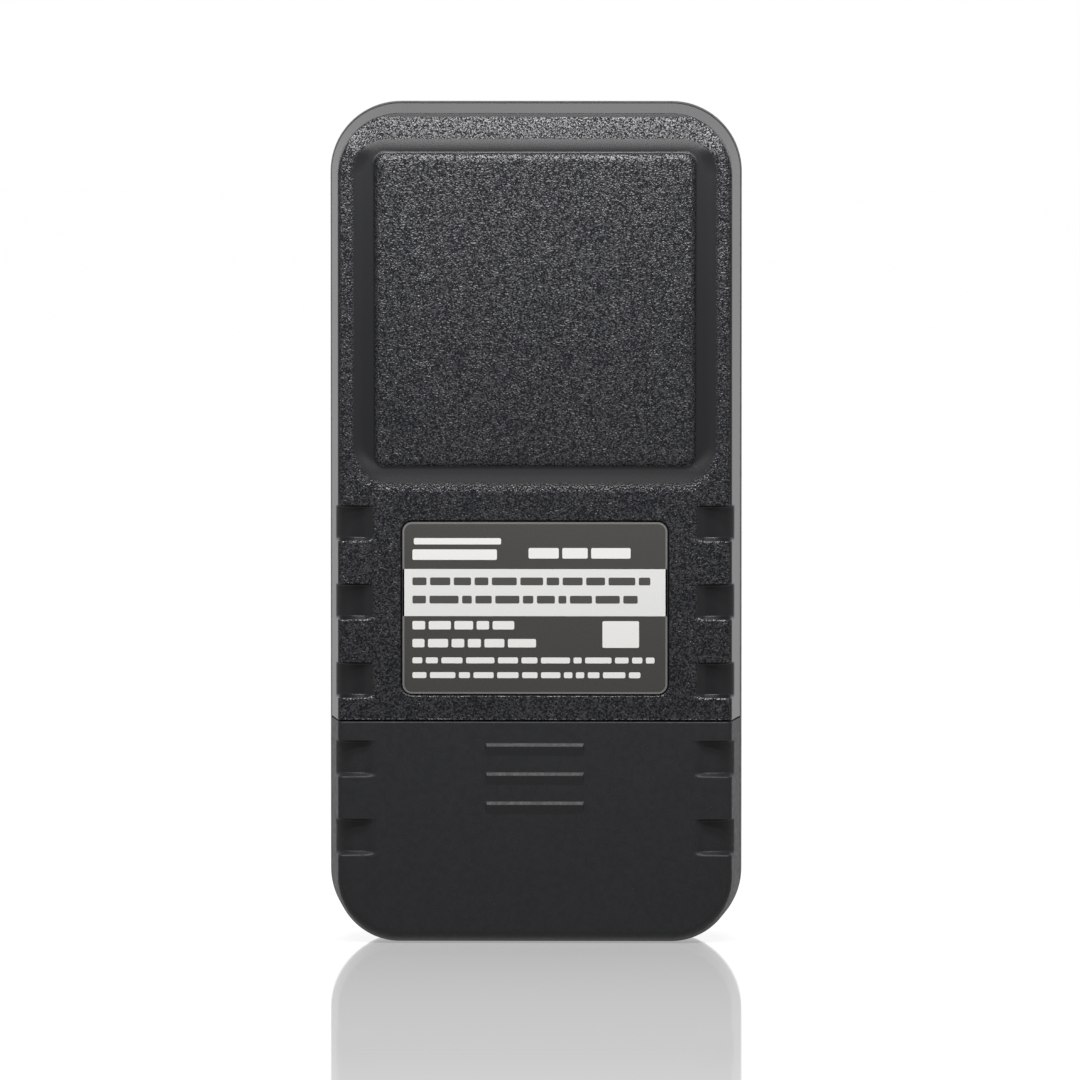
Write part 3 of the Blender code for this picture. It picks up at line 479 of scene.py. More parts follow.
def housing_material():
    """Black housing plastic: coarse spark texture on the back face, pad and rim, smooth elsewhere."""
    made = Shader("housing_black", (0.012, 0.0125, 0.0135), 0.42)
    depth_y = made.axis("Y")
    height_z = made.axis("Z")
    face = made.falls(depth_y, -10.72, -10.5)
    pad_rim = 0.25
    pad_middle = (PAD[1] + PAD[2]) / 2
    from_middle = made.maths("ABSOLUTE", made.maths("SUBTRACT", height_z, pad_middle))
    off_side = made.maths("SUBTRACT", made.maths("ABSOLUTE", made.axis("X")), PAD[0] + pad_rim)
    off_height = made.maths("SUBTRACT", from_middle, PAD[2] - pad_middle + pad_rim)
    off_pad = made.larger(off_side, off_height)
    pad_face = made.times(made.falls(off_pad, -0.05, 0.15), made.falls(depth_y, -10.4, -10.1))
    # On the crown the texture starts past the channel's rounded outer corner and ends at the case's edge.
    corner_aside, corner_over = (2.2, 3.65)
    aside = made.larger(made.add(off_side, corner_aside), 0.0)
    over = made.larger(made.add(off_height, corner_over), 0.0)
    reach = made.maths("SQRT", made.maths("MULTIPLY_ADD", aside, aside, made.times(over, over)))
    past_channel = made.times(made.remap(reach, 5.5, 5.75), made.falls(off_pad, 4.95, 5.15))
    above = made.times(past_channel, made.remap(height_z, 100.0, 104.0))
    on_crown = made.times(above, made.falls(depth_y, -8.6, -8.3))
    textured = made.larger(made.larger(face, pad_face), on_crown)
    clusters = made.remap(made.noise(1.3, 3.0, 0.6), 0.3, 0.7, 0.65, 1.0)
    grain = made.times(made.noise(0.22, 0.5), clusters)
    smooth_bump = made.bump(made.noise(0.15, 2.0), 0.002)
    made.bump(grain, 0.12, textured, smooth_bump)
    plain = made.mix(made.noise(9.0, 3.0), (0.009, 0.0095, 0.0105), (0.0115, 0.012, 0.0135))
    # Lighter bluish flecks painted into the textured area's colour: painted glints and painted shade of the
    # grain.
    painted_glint_flecks = made.remap(made.noise(0.27, 1.0), 0.4, 0.66)
    made.colour(made.mix(made.times(painted_glint_flecks, textured), plain, (0.018, 0.019, 0.024)))
    glints = made.noise(0.24, 1.0, 0.5, made.stretched((1.0, 0.9, 1.05)))
    gloss = made.remap(glints, 0.38, 0.66, -0.45, 0.8)
    made.surface({"Specular IOR Level": made.maths("MULTIPLY_ADD", gloss, textured, 0.5)})
    made.roughness(made.remap(textured, 0.0, 1.0, 0.34, 0.36))
    return made.material


def door_material():
    """The door's far finer matte grain with a few bright specks."""
    made = Shader("door_black", (0.014, 0.0145, 0.0155), 0.5)
    fine = made.noise(0.11, 2.0, 0.6)
    specks = made.remap(made.noise(0.3, 1.0), 0.72, 0.8)
    made.bump(made.add(fine, made.times(specks, 1.5)), 0.02)
    made.patchy_colour(8.0, (0.0095, 0.0102, 0.0112), (0.012, 0.0128, 0.0144))
    made.patchy_roughness(0.8, 0.5, 0.6)
    return made.material


def front_material():
    """The front housing: smooth side walls and a fine grain towards the front face."""
    made = Shader("front_black", (0.012, 0.0125, 0.0135), 0.42)
    fine = made.noise(0.16, 2.0, 0.6)
    grain = made.remap(made.axis("Y"), 3.0, 6.0, 0.12, 1.0)
    made.bump(fine, 0.016, grain)
    made.patchy_colour(9.0, (0.011, 0.0115, 0.0125), (0.0135, 0.014, 0.0155))
    made.patchy_roughness(1.4, 0.38, 0.46)
    return made.material


def film_material(name, colour, roughness, mottle):
    """Printed film, with the fine mottle of ink."""
    made = Shader(name, colour, roughness)
    ink = made.noise(0.28, 3.0, 0.7)
    low = tuple(channel * (1 - mottle) for channel in colour)
    high = tuple(min(channel * (1 + mottle), 1.0) for channel in colour)
    made.colour(made.mix(ink, low, high))
    made.bump(made.noise(0.2, 2.0), 0.003)
    return made.material


def glass_material():
    made = Shader("lens_clear", (0.93, 0.95, 0.94), 0.04)
    made.surface({"Transmission Weight": 1.0, "IOR": 1.49})
    made.roughness(made.remap(made.noise(6.0, 4.0), 0.35, 0.7, 0.03, 0.07))
    return made.material


def board_material(name, mask, copper):
    """Solder mask over copper: faint traces under the mask and bare pads."""
    made = Shader(name, mask, 0.35)
    lines = made.cells(2.4, "DISTANCE_TO_EDGE")
    trace = made.falls(lines, 0.03, 0.05)
    under = made.mix(trace, mask, tuple(min(1.0, channel * 1.9 + 0.01) for channel in mask))
    pads = made.falls(made.cells(3.1), 0.1, 0.12)
    made.colour(made.mix(pads, under, copper))
    made.roughness(made.remap(pads, 0.0, 1.0, 0.32, 0.25))
    made.bump(lines, 0.01)
    return made.material


def foam_material(name, colour):
    made = Shader(name, colour, 0.95)
    pores_and_painted_shade = made.cells(0.35)
    made.bump(pores_and_painted_shade, 0.12)
    # The pits of the pores are painted darker as well: painted shade in the pores.
    made.colour(made.mix(pores_and_painted_shade, tuple(channel * 0.4 for channel in colour), colour))
    return made.material


def cell_material(name, flip):
    """A cell's foil wrap: dark blue with a copper-coloured band at its positive end."""
    made = Shader(name, (0.02, 0.05, 0.11), 0.25, 0.6)
    along = made.axis("X")
    share = made.times(along, -1.0 if flip else 1.0)
    band = made.remap(share, 11.9, 12.05)
    ring = made.times(made.remap(share, 10.9, 11.0), made.falls(share, 11.4, 11.5))
    steel = made.larger(made.remap(share, 21.85, 21.9), made.falls(share, -20.95, -20.9))
    wrap = made.mix(band, (0.02, 0.05, 0.11), (0.52, 0.26, 0.1))
    wrap = made.mix(ring, wrap, (0.75, 0.75, 0.74))
    made.colour(made.mix(steel, wrap, (0.6, 0.6, 0.58)))
    made.patchy_roughness(1.2, 0.22, 0.32)
    made.bump(made.noise(0.4, 2.0), 0.003)
    return made.material


MATERIALS = {
    "housing": housing_material(),
    "door": door_material(),
    "front": front_material(),
    "fascia": plain_plastic("fascia_dark_grey", (0.03, 0.031, 0.033), 0.33, 0.2, 0.003),
    "label": film_material("label_grey", (0.058, 0.054, 0.05), 0.42, 0.3),
    "print_light": film_material("label_print_light", (0.8, 0.79, 0.77), 0.5, 0.05),
    "print_band": film_material("label_print_band", (0.74, 0.74, 0.72), 0.5, 0.05),
    "print_dark": film_material("label_print_dark", (0.07, 0.065, 0.06), 0.5, 0.1),
    "print_edge": film_material("label_print_edge", (0.17, 0.17, 0.165), 0.4, 0.1),
    "lens": glass_material(),
    "mask": plain_plastic("lens_mask_black", (0.012, 0.012, 0.013), 0.3),
    "rubber": plain_plastic("black_rubber", (0.025, 0.025, 0.025), 0.75),
    "plastic": plain_plastic("black_plastic", (0.02, 0.02, 0.02), 0.45),
    "lcd": plain_plastic("lcd_grey_green", (0.34, 0.37, 0.3), 0.35, 0.3, 0.002),
    "segment": plain_plastic("lcd_segment", (0.03, 0.033, 0.03), 0.4),
    "backlight": plain_plastic("backlight_white", (0.8, 0.8, 0.78), 0.4),
    "board": board_material("board_green", (0.012, 0.1, 0.035), (0.75, 0.55, 0.25)),
    "antenna": board_material("antenna_laminate", (0.5, 0.47, 0.38), (0.72, 0.45, 0.22)),
    "chip": plain_plastic("chip_black", (0.014, 0.014, 0.015), 0.5),
    "steel": metal("tinned_steel", (0.6, 0.6, 0.58), 0.3),
    "capacitor": plain_plastic("capacitor_sleeve", (0.015, 0.02, 0.06), 0.3),
    "foam": foam_material("grey_foam", (0.09, 0.09, 0.09)),
    "brass": metal("gold_pins", (0.85, 0.6, 0.25), 0.25),
    "red": plain_plastic("button_red", (0.42, 0.014, 0.012), 0.36, 0.14, 0.006),
    "key": plain_plastic("key_grey", (0.2, 0.2, 0.205), 0.55, 0.14, 0.006),
    "key_mark": plain_plastic("key_mark", (0.75, 0.75, 0.74), 0.5),
    "plunger": plain_plastic("plunger_grey", (0.3, 0.3, 0.3), 0.5),
    "cell_left": cell_material("cell_wrap_left", True),
    "cell_right": cell_material("cell_wrap_right", False),
    "nickel": metal("nickel_plate", (0.68, 0.66, 0.61), 0.22, (1.0, 0.2, 1.0)),
    "screw": metal("zinc_steel", (0.5, 0.5, 0.5), 0.3),
}


# ---- back cup: housing and door

def graded_lines(low, high, edges, finest=0.08, growth=0.28, coarsest=0.9):
    """Line positions from low to high, close together near each edge."""
    lines = [low]
    while lines[-1] < high:
        nearest = min((abs(lines[-1] - edge) for edge in edges), default=coarsest)
        step = min(finest + growth * max(nearest - 0.22, 0.0), coarsest)
        lines.append(lines[-1] + step)
    lines[-1] = high
    if lines[-1] - lines[-2] < finest * 0.5:
        lines.pop(-2)
    return lines


def wrap_stations():
    """Rings from the corner's centre out over the flat back, then down the side to the rim: (radius, y)."""
    flat_radius = CORNER_RADIUS - float(side_inset(-HALF_DEPTH))
    channel_edge = CHANNEL[0] - CENTRE_X
    pad_edge = PAD[0] - CENTRE_X
    groove_edge = GROOVE_INNER_X - CENTRE_X
    flat = graded_lines(0.0, flat_radius, (pad_edge, channel_edge, groove_edge), 0.12, 0.35, 0.5)
    stations = [(radius, -HALF_DEPTH) for radius in flat]
    start, span, _ = BACK_FILLET
    depths = [start - span * math.cos(math.radians(90.0 * step / 9)) for step in range(1, 10)]
    depths += graded_lines(start, BACK_RIM_Y, (BACK_RIM_Y,), 0.09, 0.3, 0.45)[1:]
    depths[-1] = BACK_RIM_Y
    stations += [(CORNER_RADIUS - float(side_inset(y)), y) for y in depths]
    return np.array(stations), len(flat) - 1


def crown(x, z):
    """How far the back falls away above the pad, and the share that this has at (x, z)."""
    side = np.maximum(np.abs(x) - PAD[0] + PAD[3], 0.0)
    up = np.maximum(z - PAD[2] + PAD[3], 0.0)
    share = smoothstep(*CROWN_SPREAD, up / (np.hypot(side, up) + 1e-9)) * (up > 0)
    beyond = np.clip((rounded_distance(x, z, PAD) - CROWN_START) / CROWN_WIDTH, 0.0, CROWN_LIMIT)
    return CHANNEL_DEPTH + CROWN_FALL * beyond ** CROWN_POWER, share


def relief(x, z):
    """How far the flat back sinks at (x, z): the channel, the label recess and the door's ribs."""
    start, span, power = PAD_EDGE
    pad_side = np.clip((rounded_distance(x, z, PAD) + start) / span, 0, 1) ** power
    width = COVE_WIDTH
    for low, high, more in COVE_CHANGES:
        width = width + more * smoothstep(low, high, z)
    inside = np.clip(-rounded_distance(x, z, CHANNEL) / width, 0, 1)
    cove = np.sin(inside * math.pi / 2) ** COVE_POWER
    fall, share = crown(x, z)
    sunk = pad_side * (CHANNEL_DEPTH * cove * (1.0 - share) + fall * share)
    sunk = sunk + RECESS_DEPTH * smoothstep(-0.12, 0.12, -rounded_distance(x, z, RECESS))
    ends = smoothstep(-0.08, 0.08, RIB_HALF_WIDTH - np.abs(x))
    for top in RIB_TOPS:
        crest = top - RIB_RISE
        rise = np.clip((top - z) / RIB_RISE, 0.0, 1.0)
        slope = np.clip(1.0 - (crest - z) / RIB_FALL, 0.0, 1.0)
        ramp = np.where(z > crest, rise, slope)
        sunk = sunk - RIB_HEIGHT * ramp * ends
    return sunk


def edge_round(distance):
    """How far a rounded edge has dropped at this distance from it."""
    reach = np.clip(EDGE_RADIUS - distance, 0.0, EDGE_RADIUS)
    return EDGE_RADIUS - np.sqrt(EDGE_RADIUS ** 2 - reach ** 2)


def grooved(x, y, z, straight):
    """Sinks the grip grooves, whose floors run round the side in one sweep that ends at the rim."""
    beyond = np.clip(np.abs(x) - GROOVE_INNER_X, 0, None)
    behind = np.clip(BACK_RIM_Y - y, 0, None)
    reach_x = CASE_WIDTH / 2 - GROOVE_SIDE_GAP - GROOVE_INNER_X
    reach_y = HALF_DEPTH - GROOVE_DEPTH + BACK_RIM_Y
    total = (beyond / reach_x) ** GROOVE_POWER + (behind / reach_y) ** GROOVE_POWER
    shrink = 1.0 - 1.0 / np.maximum(total ** (1 / GROOVE_POWER), 1.0)
    cut_in = np.zeros_like(x)
    for centre in GROOVES:
        above = smoothstep(*GROOVE_UPPER_EDGE, centre + GROOVE_HALF_HEIGHT - z)
        below = smoothstep(*GROOVE_LOWER_EDGE, z - centre + GROOVE_HALF_HEIGHT)
        cut_in = np.maximum(cut_in, above * below)
    cut_in = cut_in * straight * smoothstep(*GROOVE_INNER_EDGE, np.abs(x))
    return x - np.sign(x) * beyond * shrink * cut_in, y + behind * shrink * cut_in


def corner_heights(y):
    """The heights of the top and bottom corners' centres at y."""
    radius = CORNER_RADIUS - side_inset(y)
    return CASE_HEIGHT - top_inset(y) - radius, bottom_inset(y) + radius


def back_cup(name, seam, upper):
    """The fine solid of the back above the door seam, or of the door below it, without its hollow."""
    stations, last_flat = wrap_stations()
    wraps = len(stations) - 1
    flat_top, flat_bottom = (float(value) for value in corner_heights(-HALF_DEPTH))
    half_lines = graded_lines(0.0, CENTRE_X, (RIB_HALF_WIDTH, RECESS[0]))
    across = [-value for value in half_lines[:0:-1]] + half_lines
    u_straight = np.array([-CENTRE_X] * wraps + across + [CENTRE_X] * wraps)
    ramp = np.arange(1, wraps + 1)
    u_wrap = np.concatenate([-ramp[::-1], np.zeros(len(across), int), ramp])

    edges = [centre + side * GROOVE_HALF_HEIGHT for centre in GROOVES for side in (-1, 1)]
    edges += [seam, RECESS[1], RECESS[2], PAD[1], PAD[1] - 1.0, CHANNEL[1]]
    edges += [top - drop for top in RIB_TOPS for drop in (0.05, RIB_RISE, RIB_RISE + RIB_FALL)]
    if upper:
        rise = graded_lines(seam, flat_top, edges)
        w_straight = np.array(rise + [flat_top] * wraps)
        w_wrap = np.concatenate([np.zeros(len(rise), int), ramp])
    else:
        rise = graded_lines(flat_bottom, seam, edges)
        w_straight = np.array([flat_bottom] * wraps + rise)
        w_wrap = np.concatenate([-ramp[::-1], np.zeros(len(rise), int)])

    u, w = np.meshgrid(u_straight, w_straight, indexing="ij")
    ku, kw = np.meshgrid(u_wrap, w_wrap, indexing="ij")
    ring = np.maximum(np.abs(ku), np.abs(kw))
    radius = stations[ring, 0]
    y = stations[ring, 1]
    small = np.minimum(np.abs(ku), np.abs(kw)) / np.maximum(ring, 1)
    eighth = small * math.pi / 4
    angle = np.where(np.abs(kw) > np.abs(ku), math.pi / 2 - eighth, eighth)
    top, bottom = corner_heights(y)
    bend_high, bend_low = (100.0, 12.0)
    high_bend = np.clip((w - bend_high) / (flat_top - bend_high), 0, 1) * (top - flat_top)
    low_bend = np.clip((bend_low - w) / (bend_low - flat_bottom), 0, 1) * (bottom - flat_bottom)
    centre_z = w + high_bend + low_bend

    def placed(inward):
        """The shell's points moved inward by an edge's rounding, less near the corners' centres."""
        shrink = inward * np.clip((radius - 3.5) / 3.0, 0, 1)
        reach = np.where(ring > last_flat, radius - inward, radius - shrink)
        x = u + np.sign(ku) * reach * np.cos(angle) * (ku != 0)
        z = centre_z + np.sign(kw) * reach * np.sin(angle) * (kw != 0)
        floor = -HALF_DEPTH + inward
        blend = 0.7 * inward + 1e-9
        near = np.clip(blend - np.abs(y - floor), 0, None) / blend
        return x, np.maximum(y, floor) + near ** 2 * blend / 4 * (inward > 0), z

    at_seam = np.where(kw == 0, edge_round(np.abs(w - seam)), 0.0)
    x, deep, z = placed(np.maximum(edge_round(np.abs(y - BACK_RIM_Y)), at_seam))
    fall, share = crown(x, z)
    deep = np.where(ring <= last_flat, deep + relief(x, z), np.maximum(deep, fall * share - HALF_DEPTH))
    x, deep = grooved(x, deep, z, kw == 0)

    rows, columns = x.shape
    points = np.stack([x, deep, z], axis=-1).reshape(-1, 3)
    index = np.arange(rows * columns).reshape(rows, columns)
    quads = np.stack([index[:-1, :-1], index[1:, :-1], index[1:, 1:], index[:-1, 1:]], axis=-1)
    faces = quads.reshape(-1, 4).tolist()
    left = index[0, :].tolist()
    right = index[-1, :].tolist()
    if upper:
        faces.append(index[::-1, 0].tolist())
        faces.append(left + index[1:-1, -1].tolist() + right[::-1])
    else:
        faces.append(index[:, -1].tolist())
        faces.append(right[::-1] + index[-2:0:-1, 0].tolist() + left)
    return mesh_piece(name, points, faces)


def hollow_core(name, less=0.0):
    return loft(name, [case_outline(y, inward - less, 6) for y, inward in HOLLOW])


def make_back_housing():
    cad = cad_copy("back_housing")
    core = cut(hollow_core("core"), layer("below", FAR_DOWN, CORE_BOTTOM))
    tub = keep(cad_copy("back_housing"), layer("low", FAR_DOWN, TUB_TOP))
    link_core = keep(hollow_core("link"), layer("middle", *LINK_Z))
    link = keep(cad_copy("back_housing"), link_core)
    join(core, block("bores", *SCREW_BORES), block("pocket", *LATCH_POCKET))
    void = cut(core, cad)
    shell = back_cup("back_housing_fine", SEAM_TOP, True)
    cut(shell, void)
    join(shell, join(tub, link))
    dress(shell, "case", "housing", ["back_housing"], 50)


def make_battery_door():
    core = keep(hollow_core("core", DOOR_HOLLOW_GAP), layer("low", FAR_DOWN, FAR_UP))
    void = cut(core, cad_copy("battery_door"))
    latch = keep(cad_copy("battery_door"), block("latch", *LATCH))
    door = back_cup("battery_door_fine", DOOR_TOP, False)
    cut(door, void)
    join(door, latch)
    dress(door, "door", "door", ["battery_door"], 50)


make_back_housing()
make_battery_door()


# ---- front housing and fascia

FACE_Y = 9.5
FACE_RIM = ((10.8, 4.9), (10.8, 5.65), (10.77, 5.78), (10.68, 5.87), (10.55, 5.9), (FACE_Y, 5.9))
PARTING_STEP = 0.06
TONGUE_INSETS = (1.4, 1.4, 1.2)
LIP_INSETS = (0.45, 0.45, 0.45)
LIP_CORE_INSETS = (1.9, 1.9, 1.6)
FASCIA_LOW, FASCIA_HIGH = cad_box("front_fascia")
LENS_LOW, LENS_HIGH = cad_box("display_lens")
BUTTON_LOW, BUTTON_HIGH = cad_box("measure_button")
DISPLAY_Z = (LENS_LOW.z + LENS_HIGH.z) / 2
MEASURE_Z = (BUTTON_LOW.z + BUTTON_HIGH.z) / 2
MEASURE_RADIUS = 11.0
KEY_NAMES = ("power", "mode", "recall")
KEY_HALF = (5.5, 3.2)
BUTTON_CLEARANCE = 0.4
WINDOW_HALF = (20.0, 14.0)
WINDOW_RADIUS = 1.5
REBATE_HALF = (22.2, 16.2)
REBATE_RADIUS = 2.2
REBATE_Y = 8.8
LENS_MASK_Y = (9.12, 9.18)
LENS_MASK_OPENING = (19.0, 13.0)
PAST_FACE = 12


def key_centre(name):
    low, high = cad_box(f"{name}_button")
    return (low.x + high.x) / 2, (low.z + high.z) / 2


def key_outline(y, centre, grow, steps=12):
    low = (centre[0] - KEY_HALF[0] - grow, centre[1] - KEY_HALF[1] - grow)
    high = (centre[0] + KEY_HALF[0] + grow, centre[1] + KEY_HALF[1] + grow)
    return outline(y, low, high, KEY_HALF[1] + grow - 0.01, steps)


def button_holes(y):
    holes = [rod("hole", MEASURE_RADIUS + BUTTON_CLEARANCE, (0, MEASURE_Z), y)]
    for name in KEY_NAMES:
        holes.append(loft("hole", [key_outline(level, key_centre(name), BUTTON_CLEARANCE) for level in y]))
    return holes


def make_front_housing():
    steps = 20
    rings = [case_outline(FRONT_RIM_Y, EDGE_RADIUS, steps)]
    rings.append(case_outline(FRONT_RIM_Y + PARTING_STEP, EDGE_RADIUS * 0.3, steps))
    levels = [FRONT_RIM_Y + EDGE_RADIUS, 0.3, WIDEST_Y]
    turns = [math.radians(90 * step / 26) for step in range(1, 26)]
    levels += [WIDEST_Y + (HALF_DEPTH - WIDEST_Y) * math.sin(turn) for turn in turns]
    rings += [case_outline(y, 0.0, steps) for y in levels]
    rings += [inset_outline(y, inset, inset, inset, steps) for y, inset in FACE_RIM]
    shell = loft("front_housing_fine", rings)
    core_rings = [inset_outline(-3.5, 1.2, 1.2, 1.2, 6)]
    core_rings += [case_outline(y, 0.9, 6) for y in (0.0, 1.0, 4.0, 6.5, 9.0)]
    void = cut(loft("core", core_rings), cad_copy("front_housing"))
    cut(shell, void)
    tongue_limits = loft("limits", [inset_outline(y, *TONGUE_INSETS, 6) for y in (-4, 0.3)])
    join(shell, keep(cad_copy("front_housing"), tongue_limits))
    # The lip stands behind the parting line, so that the slit between the housings is shallow.
    lip_y = (BACK_RIM_Y + PARTING_STEP, 0.0)
    lip = loft("lip", [inset_outline(y, *LIP_INSETS, steps) for y in lip_y])
    cut(lip, loft("inside", [inset_outline(y, *LIP_CORE_INSETS, 6) for y in (-2, 1)]))
    join(shell, lip)
    cut(shell, slab("window", WINDOW_HALF, DISPLAY_Z, (6, PAST_FACE), WINDOW_RADIUS))
    cut(shell, slab("rebate", REBATE_HALF, DISPLAY_Z, (REBATE_Y, PAST_FACE), REBATE_RADIUS))
    cut(shell, *button_holes((7.0, PAST_FACE)))
    dress(shell, "case", "front", ["front_housing"], 45)


def make_fascia():
    inset = CASE_WIDTH / 2 - FASCIA_HIGH.x
    levels = ((FASCIA_LOW.y, 0.1), (FASCIA_LOW.y + 0.1, 0.0), (FASCIA_HIGH.y - 0.2, 0.0))
    levels += ((FASCIA_HIGH.y - 0.1, 0.03), (FASCIA_HIGH.y - 0.03, 0.1), (FASCIA_HIGH.y, 0.22))
    rings = [inset_outline(y, *([inset + more] * 3), steps=16) for y, more in levels]
    plate = loft("front_fascia_fine", rings)
    through = (9, PAST_FACE)
    cut(plate, slab("window", REBATE_HALF, DISPLAY_Z, through, REBATE_RADIUS), *button_holes(through))
    rounded = plate.modifiers.new("edges", "BEVEL")
    rounded.width = 0.12 * MM
    rounded.segments = 2
    rounded.limit_method = "ANGLE"
    rounded.angle_limit = math.radians(60)
    dress(plate, "case", "fascia", ["front_fascia"], 35)


def make_measure_button():
    crest = BUTTON_HIGH.y
    dish_radii = (0.5, 2, 3.5, 5, 6.2, 7.4, 8.4, 9.0)
    profile = [(radius, crest - 1.15 + 1.1 * (radius / 9.4) ** 2.2) for radius in dish_radii]
    profile += [(9.35, crest - 0.045), (9.6, crest), (9.95, crest - 0.02), (10.35, crest - 0.13)]
    profile += [(10.7, crest - 0.36), (10.92, crest - 0.7), (MEASURE_RADIUS, crest - 1.1)]
    profile += [(MEASURE_RADIUS, 7.7), (12.35, 7.7), (12.4, 7.65), (12.4, 6.7)]
    profile += [(9.4, 6.7), (9.2, 8.5), (2.2, 8.5), (2.0, 7.65)]
    button = turned("measure_button_fine", profile, (0, MEASURE_Z))
    dress(button, "measure_key", "red", ["measure_button"])


def key_mark(name, centre, y):
    """A plain mark on a key: a dot, a triangle or a ring, one for each key."""
    radius, sides = {"power": (0.75, 32), "mode": (1.0, 3), "recall": (1.0, 32)}[name]
    mark = rod(f"{name}_key_mark", radius, centre, (y - 0.06, y + 0.03), sides)
    if name == "recall":
        cut(mark, rod("inner", 0.65, centre, (y - 1, y + 1), 32))
    return mark


def make_keys():
    for name in KEY_NAMES:
        centre = key_centre(name)
        top = cad_box(f"{name}_button")[1].y
        levels = [(6.7, 0.95), (6.75, 1.0), (7.65, 1.0), (7.7, 0.95), (7.72, 0.0), (top - 0.55, 0.0)]
        levels += [(top - 0.3, -0.06), (top - 0.14, -0.18), (top - 0.04, -0.36), (top, -0.62)]
        levels += [(top - 0.04, -1.3), (top - 0.1, -1.9), (top - 0.12, -2.5)]
        key = loft(f"{name}_button_fine", [key_outline(y, centre, grow) for y, grow in levels])
        pocket_x, pocket_z = [(middle - 2.75, middle + 2.75) for middle in centre]
        cut(key, block("pocket", pocket_x, (6.0, 7.65), pocket_z))
        dress(key, f"{name}_key", "key", [f"{name}_button"])
        dress(key_mark(name, centre, top - 0.1), f"{name}_key", "key_mark")


make_front_housing()
make_fascia()
make_measure_button()
make_keys()


# ---- display

def bars_piece(name, bars, y, radius):
    """Thin rounded bars in one mesh, each (centre x, centre z, half width, half height)."""
    points = []
    faces = []
    for x, z, half_x, half_z in bars:
        corner = min(radius, half_x * 0.95, half_z * 0.95)
        low = (x - half_x, z - half_z)
        high = (x + half_x, z + half_z)
        rings = [outline(level, low, high, corner, 3) for level in y]
        count = len(rings[0])
        base = len(points)
        points += rings[0] + rings[1]
        faces.append([base + index for index in range(count)][::-1])
        faces.append([base + count + index for index in range(count)])
        for index in range(count):
            following = (index + 1) % count
            faces.append((base + index, base + following, base + count + following, base + count + index))
    return turn_outward(mesh_piece(name, points, faces))


def make_display():
    face = cad_box("lcd_panel")[1].y
    # The display idles: three dashes, a row of signal bars and a charge gauge.
    bars = [(x, DISPLAY_Z + 1.0, 3.1, 0.85) for x in (9.5, 0.0, -9.5)]
    for index in range(5):
        tall = 0.6 + 0.35 * index
        bars.append((16.6 - 1.9 * index, DISPLAY_Z - 10.6 + tall, 0.6, tall))
    bars += [(-9.6 - 1.6 * index, DISPLAY_Z - 9.6, 0.6, 1.0) for index in range(4)]
    bars += [(-12.0, DISPLAY_Z - 9.6 + side * 1.55, 3.5, 0.15) for side in (-1, 1)]
    segments = bars_piece("lcd_segments", bars, (face + 0.02, face + 0.06), 0.25)
    dress(segments, "case", "segment")

    centre = (0, DISPLAY_Z)
    half = ((LENS_HIGH.x - LENS_LOW.x) / 2, (LENS_HIGH.z - LENS_LOW.z) / 2)
    lens = soft_slab("display_lens_fine", half, centre, (LENS_LOW.y, LENS_HIGH.y), 2.0, 0.18)
    dress(lens, "case", "lens", ["display_lens"])
    mask = slab("lens_mask", (half[0] - 0.2, half[1] - 0.2), DISPLAY_Z, LENS_MASK_Y, 1.9)
    cut(mask, slab("opening", LENS_MASK_OPENING, DISPLAY_Z, (9, 10), 1.0))
    dress(mask, "case", "mask")


make_display()


# ---- label

def word_bars(generator, rows):
    """Bars of uneven length along each row, as the print of a label looks from afar."""
    bars = []
    for x, right, z, half_height, shortest, longest in rows:
        while x < right - shortest:
            length = min(generator.uniform(shortest, longest), right - x)
            bars.append((x + length / 2, z, length / 2, half_height))
            x += length + 0.5
    return bars


LABEL_BAND_Z = (46.6, 53.3)

# Single bars as (x, z, half width, half height), and rows of bars as (left, right, z, half height,
# shortest, longest).
ROWS_LEFT = -17.4
LIGHT_BARS = ((-11.0, 57.25, 6.2, 0.45), (-11.4, 55.35, 6.0, 0.75), (12.2, 44.0, 2.6, 1.9))
LIGHT_ROWS = (
    (-0.9, 17.0, 55.55, 0.75, 3.0, 7.0),
    (ROWS_LEFT, -1.5, 45.3, 0.6, 1.6, 4.5),
    (ROWS_LEFT, 0.5, 42.75, 0.6, 1.6, 4.5),
    (ROWS_LEFT, 17.0, 40.3, 0.42, 1.0, 4.2),
    (ROWS_LEFT, 15.0, 38.2, 0.42, 1.0, 4.2),
)
DARK_ROWS = ((ROWS_LEFT, 16.4, 51.55, 0.55, 1.0, 4.2), (ROWS_LEFT, 14.6, 48.95, 0.55, 1.0, 4.2))


def make_label():
    half = ((LABEL_HIGH.x - LABEL_LOW.x) / 2, (LABEL_HIGH.z - LABEL_LOW.z) / 2)
    middle = (LABEL_HIGH.z + LABEL_LOW.z) / 2
    face = LABEL_LOW.y
    film = soft_slab("rating_label_fine", half, (0, middle), (LABEL_HIGH.y, face), 1.4, 0.05, 12)
    dress(film, "case", "label", ["rating_label"])

    print_y = (face - 0.012, face + 0.02)
    border = slab("label_border", (half[0] - 0.05, half[1] - 0.05), middle, print_y, 1.35, 12)
    cut(border, slab("inner", (half[0] - 0.3, half[1] - 0.3), middle, (face - 1, face + 1), 1.1, 12))
    dress(border, "case", "print_edge")
    low, high = LABEL_BAND_Z
    band = [(0, (low + high) / 2, half[0] - 0.06, (high - low) / 2)]
    dress(bars_piece("label_band", band, print_y, 0.02), "case", "print_band")

    generator = random.Random(7)
    light = list(LIGHT_BARS) + word_bars(generator, LIGHT_ROWS)
    dress(bars_piece("label_bars_light", light, print_y, 0.2), "case", "print_light")
    dark = word_bars(generator, DARK_ROWS)
    dark_y = (face - 0.02, face + 0.01)
    dress(bars_piece("label_bars_dark", dark, dark_y, 0.2), "case", "print_dark")


make_label()


# ---- cells, contacts, springs and screws

